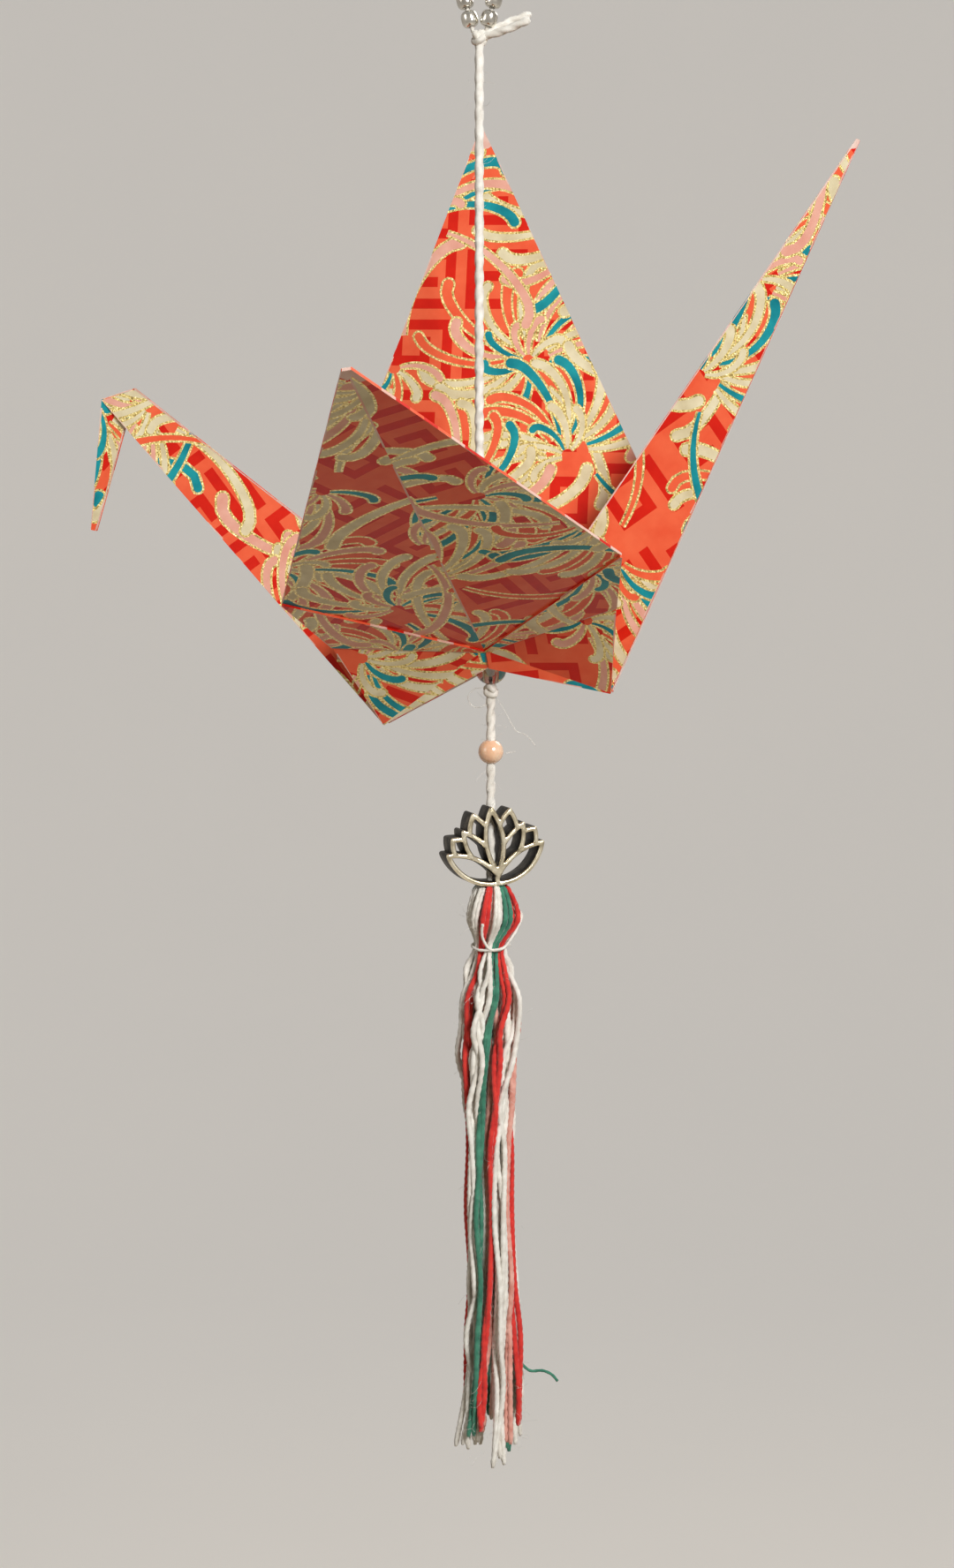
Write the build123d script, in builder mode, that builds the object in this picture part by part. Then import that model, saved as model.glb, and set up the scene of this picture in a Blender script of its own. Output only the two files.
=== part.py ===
"""Hanging ornament: a folded paper crane on a cord, with beads, a lotus bead and a thread tassel.

Millimetres, +Z up. The origin is where a hook carries the bead loop, and the cord hangs down the Z axis.
The crane's head points to -X, its tail to +X, and its lower wing to -Y.
"""

import os
from math import cos, hypot, pi, radians, sin, sqrt, tan

from build123d import *

# Paper and folds of the crane
PAPER_SIDE = 150.0
NARROWING_ANGLE = radians(11.25)
LIMB_LENGTH = 0.525 * PAPER_SIDE
NECK_LIFT = radians(44.5)
TAIL_LIFT = radians(47.3)
WALL_LEAN = radians(65.0)
NEAR_WING_LIFT = radians(26.0)
NEAR_WING_SWEEP = radians(-1.2)
NEAR_WING_WEAR = 1.0
FAR_WING_LIFT = radians(80.0)
FAR_WING_SWEEP = radians(4.5)
FAR_WING_WEAR = 0.3
BODY_HALF_GAP = 1.8
SPINE_OFFSET = 1.2
BEAK_SPINE = 21.2
BEAK_EDGE = 19.1
BEAK_WEAR = 2.6
TAIL_WEAR = 1.0
WING_PLY = 0.36
BODY_PLY = 0.30
LIMB_PLY = 0.46
FLAP_LIFT = 0.8
FOLD_ROUND = 0.14
FOLD_ROUND_SPREAD = 0.6
PLY_SPREAD = 0.1
LAYER_KINDS = 11

# How the crane hangs on the cord
CRANE_DROP = 89.5
CRANE_PITCH = radians(7.5)
CRANE_SHIFT_X = 1.3
CRANE_SHIFT_Y = 2.0

# Cord, knots and beads, with their drops below the hook
CORD_RADIUS = 0.6
CORD_ROOM = 0.08
# The cord leaves the crane's crown, slants inside the body and hangs on below a little to the back
LOW_CORD_X = 1.3
LOW_CORD_Y = 1.3
CORD_BEND_DROP = CRANE_DROP - 19.5
CORD_BEND_RADIUS = 25.0
TOP_KNOT_DROP = 12.8
TOP_KNOT_RADIUS = 1.05
TAIL_RADIUS = 0.5
TAIL_LENGTH = 7.0
TAIL_RISE = 20.0
TAIL_SPREAD = 4.5
GLASS_BEAD_DROP = CRANE_DROP + 1.0
GLASS_BEAD_RADIUS = 2.0
STOP_KNOT_DROP = GLASS_BEAD_DROP + 2.8
STOP_KNOT_RADIUS = 1.0
CORAL_BEAD_DROP = CRANE_DROP + 11.5
CORAL_BEAD_RADIUS = 1.6
CORD_END_DROP = CRANE_DROP + 32.0
END_KNOT_RADIUS = 0.8

# Bead loop at the top
LOOP_RADIUS = 3.3
LOOP_SLANT = radians(15.0)
LOOP_FOOT_X = 1.2
LOOP_THREAD_RADIUS = 0.25
SEED_BEAD_RADIUS = 1.05
SEED_BEAD_LENGTH = 1.9
SEED_BEAD_ROUND = 0.7
SEED_BEAD_BORE = 0.45
SEED_BEAD_COUNT = 13

# Lotus bead
LOTUS_DROP = CRANE_DROP + 26.15
LOTUS_DEPTH = 4.0
LOTUS_BAND = 0.64
LOTUS_YAW = radians(24.0)
LOTUS_ROLL = 6.5
LOTUS_SIDE = 0.4
LOTUS_STEM = 0.18
# Each petal, from back to front: foot height, tip, upper bulge point, lower bulge point
LOTUS_PETALS = (
    (-0.3, (5.4, 4.3), (2.0, 3.3), (4.2, 0.5)),
    (-0.3, (2.4, 7.05), (0.1, 3.9), (2.9, 2.9)),
    (-0.6, (3.9, 5.1), (1.2, 2.95), (3.0, 1.55)),
    (-1.95, (6.2, 2.4), (3.2, 1.75), (3.95, -0.85)),
)
LOTUS_CENTRE_TIP = 7.5
LOTUS_CENTRE_FOOT = -0.5
LOTUS_CENTRE_HALF = 1.15

# Tassel
TASSEL_DROP = CRANE_DROP + 28.9
THREAD_RADIUS = 0.34
INNER_THREADS = 6
OUTER_THREADS = 12
THREAD_TWIST = radians(-15.0)
THREAD_END_STEP = 0.9
# Drop below the tassel's top, radii of the inner and outer rings of threads, and shift to the right
TASSEL_STATIONS = (
    (0.0, 1.10, 1.86, 0.1),
    (3.7, 1.80, 2.98, 0.45),
    (7.2, 0.72, 1.46, 0.0),
    (13.9, 1.60, 3.10, 0.0),
    (22.0, 1.75, 3.22, -0.1),
    (33.5, 1.50, 2.75, -0.1),
    (50.8, 1.65, 2.95, 0.3),
    (72.0, 2.20, 3.85, 0.2),
)
TIE_DROP = 7.2
TIE_RADIUS = 0.2
TIE_RING_RADIUS = 2.42
TIE_PITCH = 0.3
TIE_TURNS = 2
THREAD_COLOURS = {
    "white": (1, 4, 7, 8, 10, 11, 12, 14, 16),
    "red": (0, 3, 6),
    "green": (2, 9, 15, 17),
    "salmon": (5, 13),
}

os.makedirs("parts", exist_ok=True)


def unit(vector):
    return vector / vector.length


def hang(x, y, z):
    """A point of the crane's own frame, tipped head-down and hung on the cord."""
    return Vector(
        x * cos(CRANE_PITCH) - z * sin(CRANE_PITCH) + CRANE_SHIFT_X,
        y + CRANE_SHIFT_Y,
        x * sin(CRANE_PITCH) + z * cos(CRANE_PITCH) - CRANE_DROP,
    )


# Corners of the flat folded base, with the paper's centre at zero and its limbs pointing down
HALF_WIDTH = PAPER_SIDE * (sqrt(2) - 1) / 2
LIMB_TIP_DEPTH = PAPER_SIDE / sqrt(2)
WING_TOP = PAPER_SIDE - LIMB_TIP_DEPTH
ROOT_DEPTH = LIMB_TIP_DEPTH - hypot(HALF_WIDTH, LIMB_TIP_DEPTH - HALF_WIDTH)
NARROW_SLOPE = tan(NARROWING_ANGLE)
WING_SLOPE = tan(2 * NARROWING_ANGLE)
CORNER_Y = (WING_TOP * WING_SLOPE - LIMB_TIP_DEPTH * NARROW_SLOPE) / (NARROW_SLOPE + WING_SLOPE)
CORNER_X = (WING_TOP - CORNER_Y) * WING_SLOPE
SHOULDER_X = LIMB_TIP_DEPTH * NARROW_SLOPE / (1 + NARROW_SLOPE)
WING_LENGTH = WING_TOP + ROOT_DEPTH
CORNER_RISE = CORNER_Y + ROOT_DEPTH
SHOULDER_RISE = ROOT_DEPTH - SHOULDER_X

# Reverse folds: each limb turns up about a crease that falls from the body's middle to its heel
LIMBS = (("head", -1, NECK_LIFT), ("tail", 1, TAIL_LIFT))


def heel(lift):
    """How far out and how low a limb's heel lies, where its outer edge meets the body wall."""
    crease_fall = tan((pi / 2 - lift) / 2)
    out = LIMB_LENGTH * NARROW_SLOPE / (1 + NARROW_SLOPE * crease_fall)
    return out, -out * crease_fall


HEEL_LEVEL = (heel(NECK_LIFT)[1] + heel(TAIL_LIFT)[1]) / 2
WALL_HEIGHT = LIMB_TIP_DEPTH - LIMB_LENGTH - ROOT_DEPTH - HEEL_LEVEL
LIP_SHARE = -HEEL_LEVEL / WALL_HEIGHT


def crane_half(side, lift, sweep):
    """Corners of one wing and its body wall; side is -1 for the lower wing and 1 for the upper one."""
    root_y = side * (BODY_HALF_GAP + WALL_HEIGHT * cos(WALL_LEAN))
    root_z = HEEL_LEVEL + WALL_HEIGHT * sin(WALL_LEAN)
    root = Vector(0, root_y, root_z)
    along = Vector(sin(sweep), side * cos(sweep) * cos(lift), cos(sweep) * sin(lift))
    across = unit(Vector(1, 0, 0) - along * along.X)
    lip_y = side * (BODY_HALF_GAP + LIP_SHARE * WALL_HEIGHT * cos(WALL_LEAN))
    corners = {
        "root": root,
        "tip": root + along * WING_LENGTH,
        "lip": Vector(0, lip_y, HEEL_LEVEL + LIP_SHARE * WALL_HEIGHT * sin(WALL_LEAN)),
    }
    for end, sign, limb_lift in LIMBS:
        heel_x, heel_z = heel(limb_lift)
        corners["corner", end] = root + along * CORNER_RISE + across * (sign * CORNER_X)
        corners["shoulder", end] = root + along * SHOULDER_RISE + across * (sign * SHOULDER_X)
        corners["heel", end] = Vector(sign * heel_x, side * BODY_HALF_GAP, heel_z)
        corners["spine", end] = Vector(sign * SPINE_OFFSET, 0, 0)
        corners["limb", end] = Vector(sign * cos(limb_lift), 0, sin(limb_lift)) * LIMB_LENGTH
    return corners


def crown_point(near, far):
    """The paper's centre: as far from the four shoulders as it is in the flat sheet."""
    low = (near["shoulder", "head"] + near["shoulder", "tail"]) / 2
    high = (far["shoulder", "head"] + far["shoulder", "tail"]) / 2
    middle = (low + high) / 2
    half_span = (high - low).length / 2
    direction = unit(high - low)
    rise = sqrt(SHOULDER_X**2 - half_span**2)
    return Vector(0, middle.Y - direction.Z * rise, middle.Z + direction.Y * rise)


def worn(points, index, wear):
    """The same corners, with one sharp tip worn back to a short blunt edge."""
    tip = points[index]
    before, after = points[index - 1], points[(index + 1) % len(points)]
    middle = unit(unit(before - tip) + unit(after - tip))
    blunt = []
    for neighbour in (before, after):
        edge = unit(neighbour - tip)
        blunt.append(tip + edge * (wear / edge.dot(middle)))
    return points[:index] + blunt + points[index + 1 :]


def mirrored_over_line(point, start, end):
    direction = unit(end - start)
    foot = start + direction * (point - start).dot(direction)
    return foot * 2 - point


def grown(corners, normal, reach):
    """The outline moved out by its reach round the folds, with each corner cut off twice."""
    outline = []
    for index, corner in enumerate(corners):
        arriving = unit(corner - corners[index - 1])
        leaving = unit(corners[(index + 1) % len(corners)] - corner)
        cut = tan(radians(arriving.get_angle(leaving)) / 4)
        outline.append(corner + (arriving.cross(normal) + arriving * cut) * reach)
        outline.append(corner + (leaving.cross(normal) - leaving * cut) * reach)
    return outline


def facet_solid(points, ply, layer):
    """One flat facet of paper. Layers lie round one another, so each reaches its own way round the folds."""
    reach = FOLD_ROUND * (1 + FOLD_ROUND_SPREAD * (5 * layer % LAYER_KINDS) / LAYER_KINDS)
    thickness = ply * (1 + PLY_SPREAD * (3 * layer % LAYER_KINDS) / LAYER_KINDS)
    corners = [hang(*point) for point in points]
    first, second, third = corners[:3]
    plane = Plane(origin=first, x_dir=second - first, z_dir=(second - first).cross(third - first))
    outline = [plane.to_local_coords(corner) for corner in grown(corners, plane.z_dir, reach)]
    with BuildSketch(plane) as facet:
        with BuildLine():
            Polyline(*[(corner.X, corner.Y) for corner in outline], close=True)
        make_face()
    return extrude(facet.sketch, amount=thickness / 2, both=True, mode=Mode.PRIVATE)


def wing_facets(half, wear):
    """One wing and the two narrowing flaps that lie on its outer face."""
    root, tip = half["root"], half["tip"]
    outward = unit((half["corner", "tail"] - root).cross(tip - root))
    if outward.Z > 0:
        outward = outward * -1
    lift_off = outward * (FLAP_LIFT * WING_PLY)
    facets = [(worn([root, half["corner", "tail"], tip, half["corner", "head"]], 2, wear), WING_PLY)]
    for end, _, _ in LIMBS:
        flap = (half["corner", end], root, half["shoulder", end])
        facets.append(([corner + lift_off for corner in flap], WING_PLY))
    return facets


def body_facets(half, crown):
    """The wall below one wing, its half of the hump, and the folds inside the body."""
    facets = [([crown, half["shoulder", "head"], half["shoulder", "tail"]], BODY_PLY)]
    for end, _, _ in LIMBS:
        shoulder, low, spine = half["shoulder", end], half["heel", end], half["spine", end]
        facets.append(([half["root"], shoulder, low], LIMB_PLY))
        facets.append(([half["root"], low, half["lip"]], LIMB_PLY))
        facets.append(([crown, shoulder, spine], BODY_PLY))
        facets.append(([shoulder, low, spine], BODY_PLY))
        facets.append(([spine, half["lip"], low], BODY_PLY))
    return facets


def limb_facets(half):
    """One wall each of the tail, the neck and the beak, which the last reverse fold turns down."""
    tail = worn([half["spine", "tail"], half["heel", "tail"], half["limb", "tail"]], 2, TAIL_WEAR)
    spine, low, limb = half["spine", "head"], half["heel", "head"], half["limb", "head"]
    brow = limb + unit(spine - limb) * BEAK_SPINE
    throat = limb + unit(low - limb) * BEAK_EDGE
    beak_tip = mirrored_over_line(limb, brow, Vector(throat.X, 0, throat.Z))
    beak = worn([brow, throat, beak_tip], 2, BEAK_WEAR)
    return [(tail, LIMB_PLY), ([spine, low, throat, brow], LIMB_PLY), (beak, LIMB_PLY)]


def cord_tube(radius):
    """The cord's round run from the top knot to its end, straight but for the slant inside the crane."""
    points = (
        (0, 0, -TOP_KNOT_DROP),
        (0, 0, -CORD_BEND_DROP),
        (LOW_CORD_X, LOW_CORD_Y, -CRANE_DROP),
        (LOW_CORD_X, LOW_CORD_Y, -CORD_END_DROP),
    )
    with BuildLine() as run:
        FilletPolyline(*points, radius=CORD_BEND_RADIUS)
    with BuildSketch(Plane(origin=points[0], z_dir=(0, 0, -1))) as section:
        Circle(radius)
    return sweep(sections=section.sketch, path=run.line, mode=Mode.PRIVATE)


near_half = crane_half(-1, NEAR_WING_LIFT, NEAR_WING_SWEEP)
far_half = crane_half(1, FAR_WING_LIFT, FAR_WING_SWEEP)
crown = crown_point(near_half, far_half)

crane_facets = []
for half, wear in ((near_half, NEAR_WING_WEAR), (far_half, FAR_WING_WEAR)):
    crane_facets += wing_facets(half, wear) + body_facets(half, crown) + limb_facets(half)

with BuildPart() as paper_crane:
    layers = [facet_solid(points, ply, layer) for layer, (points, ply) in enumerate(crane_facets)]
    add(layers[0].fuse(*layers[1:]))
    with Locations((LOW_CORD_X, LOW_CORD_Y, -GLASS_BEAD_DROP)):
        Sphere(GLASS_BEAD_RADIUS + CORD_ROOM, mode=Mode.SUBTRACT)
    add(cord_tube(CORD_RADIUS + CORD_ROOM), mode=Mode.SUBTRACT)
paper_crane.part.label = "paper_crane"
export_step(paper_crane.part, "parts/paper_crane.step")


def knot_turns(x, y, drop, radius):
    """An overhand knot pulled tight: a round core with crossing turns of cord."""
    with Locations((x, y, -drop)):
        Sphere(radius * 0.86)
    for tilt_x, tilt_y, shift in ((28, 0, 0.3), (-24, 18, -0.25), (12, -32, 0.0)):
        with Locations(Location((x, y, shift * radius - drop), (tilt_x, tilt_y, 0))):
            Torus(radius * 0.58, radius * 0.42)


def low_bore(top_drop, bottom_drop, room=0.0):
    """Cuts the round path of the cord's lower run from one drop to another."""
    with Locations((LOW_CORD_X, LOW_CORD_Y, -(top_drop + bottom_drop) / 2)):
        Cylinder(CORD_RADIUS + room, bottom_drop - top_drop, mode=Mode.SUBTRACT)


with BuildPart() as top_knot:
    knot_turns(0, 0, TOP_KNOT_DROP, TOP_KNOT_RADIUS)
    for spread in (-TAIL_SPREAD, TAIL_SPREAD):
        with Locations(Location((0, 0, -TOP_KNOT_DROP), (0, 90 - TAIL_RISE + spread, 2 * spread))):
            Cylinder(TAIL_RADIUS, TAIL_LENGTH, align=(Align.CENTER, Align.CENTER, Align.MIN))
    add(cord_tube(CORD_RADIUS), mode=Mode.SUBTRACT)
top_knot.part.label = "top_knot"
export_step(top_knot.part, "parts/top_knot.step")

with BuildPart() as stop_knot:
    knot_turns(LOW_CORD_X, LOW_CORD_Y, STOP_KNOT_DROP, STOP_KNOT_RADIUS)
    low_bore(STOP_KNOT_DROP - 2 * STOP_KNOT_RADIUS, STOP_KNOT_DROP + 2 * STOP_KNOT_RADIUS)
stop_knot.part.label = "stop_knot"
export_step(stop_knot.part, "parts/stop_knot.step")

with BuildPart() as tassel_knot:
    knot_turns(LOW_CORD_X, LOW_CORD_Y, CORD_END_DROP, END_KNOT_RADIUS)
    low_bore(CORD_END_DROP - 2 * END_KNOT_RADIUS, CORD_END_DROP)
tassel_knot.part.label = "tassel_knot"
export_step(tassel_knot.part, "parts/tassel_knot.step")

with BuildPart() as hanging_cord:
    add(cord_tube(CORD_RADIUS))
hanging_cord.part.label = "hanging_cord"
export_step(hanging_cord.part, "parts/hanging_cord.step")

with BuildPart() as glass_bead:
    with Locations((LOW_CORD_X, LOW_CORD_Y, -GLASS_BEAD_DROP)):
        Sphere(GLASS_BEAD_RADIUS)
    low_bore(GLASS_BEAD_DROP - GLASS_BEAD_RADIUS, GLASS_BEAD_DROP + GLASS_BEAD_RADIUS, CORD_ROOM)
glass_bead.part.label = "glass_bead"
export_step(glass_bead.part, "parts/glass_bead.step")

with BuildPart() as coral_bead:
    with Locations((LOW_CORD_X, LOW_CORD_Y, -CORAL_BEAD_DROP)):
        Sphere(CORAL_BEAD_RADIUS)
    low_bore(CORAL_BEAD_DROP - CORAL_BEAD_RADIUS, CORAL_BEAD_DROP + CORAL_BEAD_RADIUS, CORD_ROOM)
coral_bead.part.label = "coral_bead"
export_step(coral_bead.part, "parts/coral_bead.step")

# Bead loop: two slanting strands that run into a round top, hung by the inside of its highest bead
LOOP_CENTRE_Z = SEED_BEAD_RADIUS - LOOP_RADIUS
LOOP_FOOT_Z = LOOP_CENTRE_Z - (LOOP_RADIUS - LOOP_FOOT_X * cos(LOOP_SLANT)) / sin(LOOP_SLANT)
TANGENT_X = LOOP_RADIUS * cos(LOOP_SLANT)
TANGENT_Z = LOOP_CENTRE_Z - LOOP_RADIUS * sin(LOOP_SLANT)
STRAND_LENGTH = hypot(TANGENT_X - LOOP_FOOT_X, TANGENT_Z - LOOP_FOOT_Z)
STRAND_START_Z = -TOP_KNOT_DROP + 0.5 * TOP_KNOT_RADIUS
STRAND_START_X = LOOP_FOOT_X - (LOOP_FOOT_Z - STRAND_START_Z) * tan(LOOP_SLANT)

with BuildPart() as hanger_thread:
    with BuildLine() as loop_path:
        Line((-STRAND_START_X, 0, STRAND_START_Z), (-TANGENT_X, 0, TANGENT_Z))
        ThreePointArc((-TANGENT_X, 0, TANGENT_Z), (0, 0, LOOP_CENTRE_Z + LOOP_RADIUS), (TANGENT_X, 0, TANGENT_Z))
        Line((TANGENT_X, 0, TANGENT_Z), (STRAND_START_X, 0, STRAND_START_Z))
    with BuildSketch(Plane(origin=loop_path.line @ 0, z_dir=loop_path.line % 0)) as thread_section:
        Circle(LOOP_THREAD_RADIUS)
    sweep(sections=thread_section.sketch, path=loop_path.line)
    add(top_knot.part, mode=Mode.SUBTRACT)
hanger_thread.part.label = "hanger_thread"
export_step(hanger_thread.part, "parts/hanger_thread.step")


def loop_place(distance):
    """Where a bead sits on the loop, this far along it from the left foot."""
    arc_length = LOOP_RADIUS * (pi + 2 * LOOP_SLANT)
    if distance <= STRAND_LENGTH:
        share = distance / STRAND_LENGTH
        x = -LOOP_FOOT_X - share * (TANGENT_X - LOOP_FOOT_X)
        z = LOOP_FOOT_Z + share * (TANGENT_Z - LOOP_FOOT_Z)
        return Plane(origin=(x, 0, z), z_dir=(-sin(LOOP_SLANT), 0, cos(LOOP_SLANT)))
    if distance >= STRAND_LENGTH + arc_length:
        other = loop_place(2 * STRAND_LENGTH + arc_length - distance)
        return Plane(origin=(-other.origin.X, 0, other.origin.Z), z_dir=(sin(LOOP_SLANT), 0, cos(LOOP_SLANT)))
    turn = (distance - STRAND_LENGTH) / LOOP_RADIUS - LOOP_SLANT
    x = -LOOP_RADIUS * cos(turn)
    z = LOOP_CENTRE_Z + LOOP_RADIUS * sin(turn)
    return Plane(origin=(x, 0, z), z_dir=(sin(turn), 0, cos(turn)))


with BuildPart() as seed_bead:
    Cylinder(SEED_BEAD_RADIUS, SEED_BEAD_LENGTH)
    fillet(seed_bead.edges().filter_by(GeomType.CIRCLE), SEED_BEAD_ROUND)
    Hole(SEED_BEAD_BORE)

with BuildPart() as hanger_beads:
    loop_length = 2 * STRAND_LENGTH + LOOP_RADIUS * (pi + 2 * LOOP_SLANT)
    for index in range(SEED_BEAD_COUNT):
        with Locations(loop_place(loop_length * index / (SEED_BEAD_COUNT - 1))):
            add(seed_bead.part)
hanger_beads.part.label = "hanger_beads"
export_step(hanger_beads.part, "parts/hanger_beads.step")


def petal_face(foot, tip, upper, lower, sign):
    """The middle line of one petal: two arcs from the bead's stem to the tip."""
    stem_x = -sign * LOTUS_STEM
    top_foot = (stem_x, foot + LOTUS_BAND)
    low_foot = (stem_x, foot)
    point = (sign * tip[0], tip[1])
    with BuildSketch(mode=Mode.PRIVATE) as petal:
        with BuildLine():
            ThreePointArc(top_foot, (sign * upper[0], upper[1]), point)
            ThreePointArc(point, (sign * lower[0], lower[1]), low_foot)
            Line(low_foot, top_foot)
        make_face()
    return petal.sketch


def centre_petal_face():
    foot = (0, LOTUS_CENTRE_FOOT)
    tip = (0, LOTUS_CENTRE_TIP)
    middle = (LOTUS_CENTRE_FOOT + LOTUS_CENTRE_TIP) / 2
    with BuildSketch(mode=Mode.PRIVATE) as petal:
        with BuildLine():
            ThreePointArc(foot, (-LOTUS_CENTRE_HALF, middle), tip)
            ThreePointArc(tip, (LOTUS_CENTRE_HALF, middle), foot)
        make_face()
    return petal.sketch


def lay_petal(face):
    """Lays a petal over those behind it: its band covers them, and its window opens the bead."""
    add(offset(face, amount=LOTUS_BAND / 2, mode=Mode.PRIVATE))
    add(offset(face, amount=-LOTUS_BAND / 2, mode=Mode.PRIVATE), mode=Mode.SUBTRACT)


lotus_plane = Plane(
    origin=(LOW_CORD_X + LOTUS_SIDE * cos(LOTUS_YAW), LOW_CORD_Y + LOTUS_SIDE * sin(LOTUS_YAW), -LOTUS_DROP),
    x_dir=(cos(LOTUS_YAW), sin(LOTUS_YAW), 0),
    z_dir=(sin(LOTUS_YAW), -cos(LOTUS_YAW), 0),
).rotated((0, 0, LOTUS_ROLL))

with BuildPart() as lotus_bead:
    with BuildSketch(lotus_plane) as lotus_outline:
        for foot, tip, upper, lower in LOTUS_PETALS:
            for sign in (-1, 1):
                lay_petal(petal_face(foot, tip, upper, lower, sign))
        lay_petal(centre_petal_face())
    extrude(amount=LOTUS_DEPTH / 2, both=True)
    low_bore(LOTUS_DROP - LOTUS_CENTRE_TIP - 2, TASSEL_DROP + 2, CORD_ROOM)
lotus_bead.part.label = "lotus_bead"
export_step(lotus_bead.part, "parts/lotus_bead.step")


def thread_path(index):
    """Corner points of one tassel thread, from the fold under the lotus to its cut end."""
    inner = index >= OUTER_THREADS
    count = INNER_THREADS if inner else OUTER_THREADS
    start = -pi / 2 + 2 * pi * (index - (OUTER_THREADS if inner else 0)) / count + (pi / 12 if inner else 0)
    points = []
    for station, (drop, inner_radius, outer_radius, shift) in enumerate(TASSEL_STATIONS):
        radius = inner_radius if inner else outer_radius
        angle = start + THREAD_TWIST * station
        end_step = THREAD_END_STEP * ((5 * index) % 7 - 3) if station == len(TASSEL_STATIONS) - 1 else 0
        x = LOW_CORD_X + shift + radius * cos(angle)
        y = LOW_CORD_Y + radius * sin(angle)
        points.append(Vector(x, y, -TASSEL_DROP - drop - end_step))
    return points


def corner_radii(points):
    """The largest bends that the runs between the points leave room for."""
    radii = []
    for before, corner, after in zip(points, points[1:], points[2:]):
        turn = radians((corner - before).get_angle(after - corner))
        shorter = min((corner - before).length, (after - corner).length)
        radii.append(0.45 * shorter / tan(turn / 2))
    return radii


for colour, indices in THREAD_COLOURS.items():
    with BuildPart() as tassel_threads:
        for index in indices:
            points = thread_path(index)
            with BuildLine() as path:
                FilletPolyline(*points, radius=corner_radii(points))
            with BuildSketch(Plane(origin=path.line @ 0, z_dir=path.line % 0)) as section:
                Circle(THREAD_RADIUS)
            sweep(sections=section.sketch, path=path.line)
    tassel_threads.part.label = f"tassel_threads_{colour}"
    export_step(tassel_threads.part, f"parts/tassel_threads_{colour}.step")

with BuildPart() as tassel_tie:
    for turn in range(TIE_TURNS):
        tie_z = -TASSEL_DROP - TIE_DROP + (turn - 0.5) * TIE_PITCH
        with Locations((LOW_CORD_X, LOW_CORD_Y, tie_z)):
            Torus(TIE_RING_RADIUS, TIE_RADIUS)
tassel_tie.part.label = "tassel_tie"
export_step(tassel_tie.part, "parts/tassel_tie.step")
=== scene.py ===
"""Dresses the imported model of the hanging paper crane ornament. Metres, in the model's own frame."""

import random
from math import acos, atan2, copysign, cos, hypot, pi, radians, sin, sqrt, tan

import bmesh
import bpy
from mathutils import Matrix, Vector
from mathutils.geometry import delaunay_2d_cdt


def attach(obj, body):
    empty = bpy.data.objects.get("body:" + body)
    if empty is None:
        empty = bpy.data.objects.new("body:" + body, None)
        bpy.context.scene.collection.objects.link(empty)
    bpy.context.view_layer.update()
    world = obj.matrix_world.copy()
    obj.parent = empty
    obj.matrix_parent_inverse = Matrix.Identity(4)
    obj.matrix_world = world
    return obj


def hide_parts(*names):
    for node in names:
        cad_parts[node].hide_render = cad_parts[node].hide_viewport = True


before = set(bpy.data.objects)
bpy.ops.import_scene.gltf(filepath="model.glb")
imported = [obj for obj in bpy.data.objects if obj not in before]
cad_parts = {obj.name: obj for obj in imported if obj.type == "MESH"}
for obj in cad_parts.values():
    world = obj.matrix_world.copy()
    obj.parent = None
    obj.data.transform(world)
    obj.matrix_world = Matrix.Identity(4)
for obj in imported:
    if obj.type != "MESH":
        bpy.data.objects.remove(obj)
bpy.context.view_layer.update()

MM = 0.001
RANDOM = random.Random(11)
FULL_TURN = 2 * pi

# Paper and folds of the crane, in millimetres and radians, as in the part's source
PAPER_SIDE = 150.0
NARROWING_ANGLE = radians(11.25)
LIMB_LENGTH = 0.525 * PAPER_SIDE
NECK_LIFT = radians(44.5)
TAIL_LIFT = radians(47.3)
WALL_LEAN = radians(65.0)
NEAR_WING = {"side": -1, "lift": radians(26.0), "sweep": radians(-1.2), "wear": 1.0}
FAR_WING = {"side": 1, "lift": radians(80.0), "sweep": radians(4.5), "wear": 0.3}
BODY_HALF_GAP = 1.8
SPINE_OFFSET = 1.2
BEAK_SPINE = 21.2
BEAK_EDGE = 19.1
BEAK_WEAR = 2.6
TAIL_WEAR = 1.0
WING_PLY = 0.36
BODY_PLY = 0.30
LIMB_PLY = 0.46
FLAP_LIFT = 0.8
FOLD_ROUND = 0.16
CRANE_DROP = 89.5
CRANE_PITCH = radians(7.5)
CRANE_SHIFT_X = 1.3
CRANE_SHIFT_Y = 2.0

# Cord, knots and beads
LOW_CORD_X = 1.3
LOW_CORD_Y = 1.3
CORD_RADIUS = 0.6
TOP_KNOT_DROP = 12.8
CORD_BEND_DROP = CRANE_DROP - 19.5
CORD_END_DROP = CRANE_DROP + 32.0
GLASS_BEAD_DROP = CRANE_DROP + 1.0
STOP_KNOT_DROP = GLASS_BEAD_DROP + 2.8
CORAL_BEAD_DROP = CRANE_DROP + 11.5
LOTUS_DROP = CRANE_DROP + 26.15
TASSEL_DROP = CRANE_DROP + 28.9

# Camera: seen from the front, a little to the right and from above
VIEW_AZIMUTH = radians(8.0)
VIEW_ELEVATION = radians(5.0)
VIEW_DISTANCE = 300.0
VIEW_AIM_RIGHT = -1.57
VIEW_AIM_UP = -15.44
VIEW_LENS = 54.73

# Pale card of the floor, the wall and the room, as linear light, and how strongly it shows and lights
BACKGROUND = (0.86, 0.85, 0.83, 1.0)
BACKGROUND_GLOW = 0.5
ROOM_LIGHT = 0.09


def metres(point):
    return Vector(point) * MM


def low_cord(drop):
    """A point of the cord's lower run, this far below the model's origin."""
    return Vector((LOW_CORD_X, LOW_CORD_Y, -drop))


def any_angle():
    return RANDOM.uniform(0, FULL_TURN)


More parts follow.
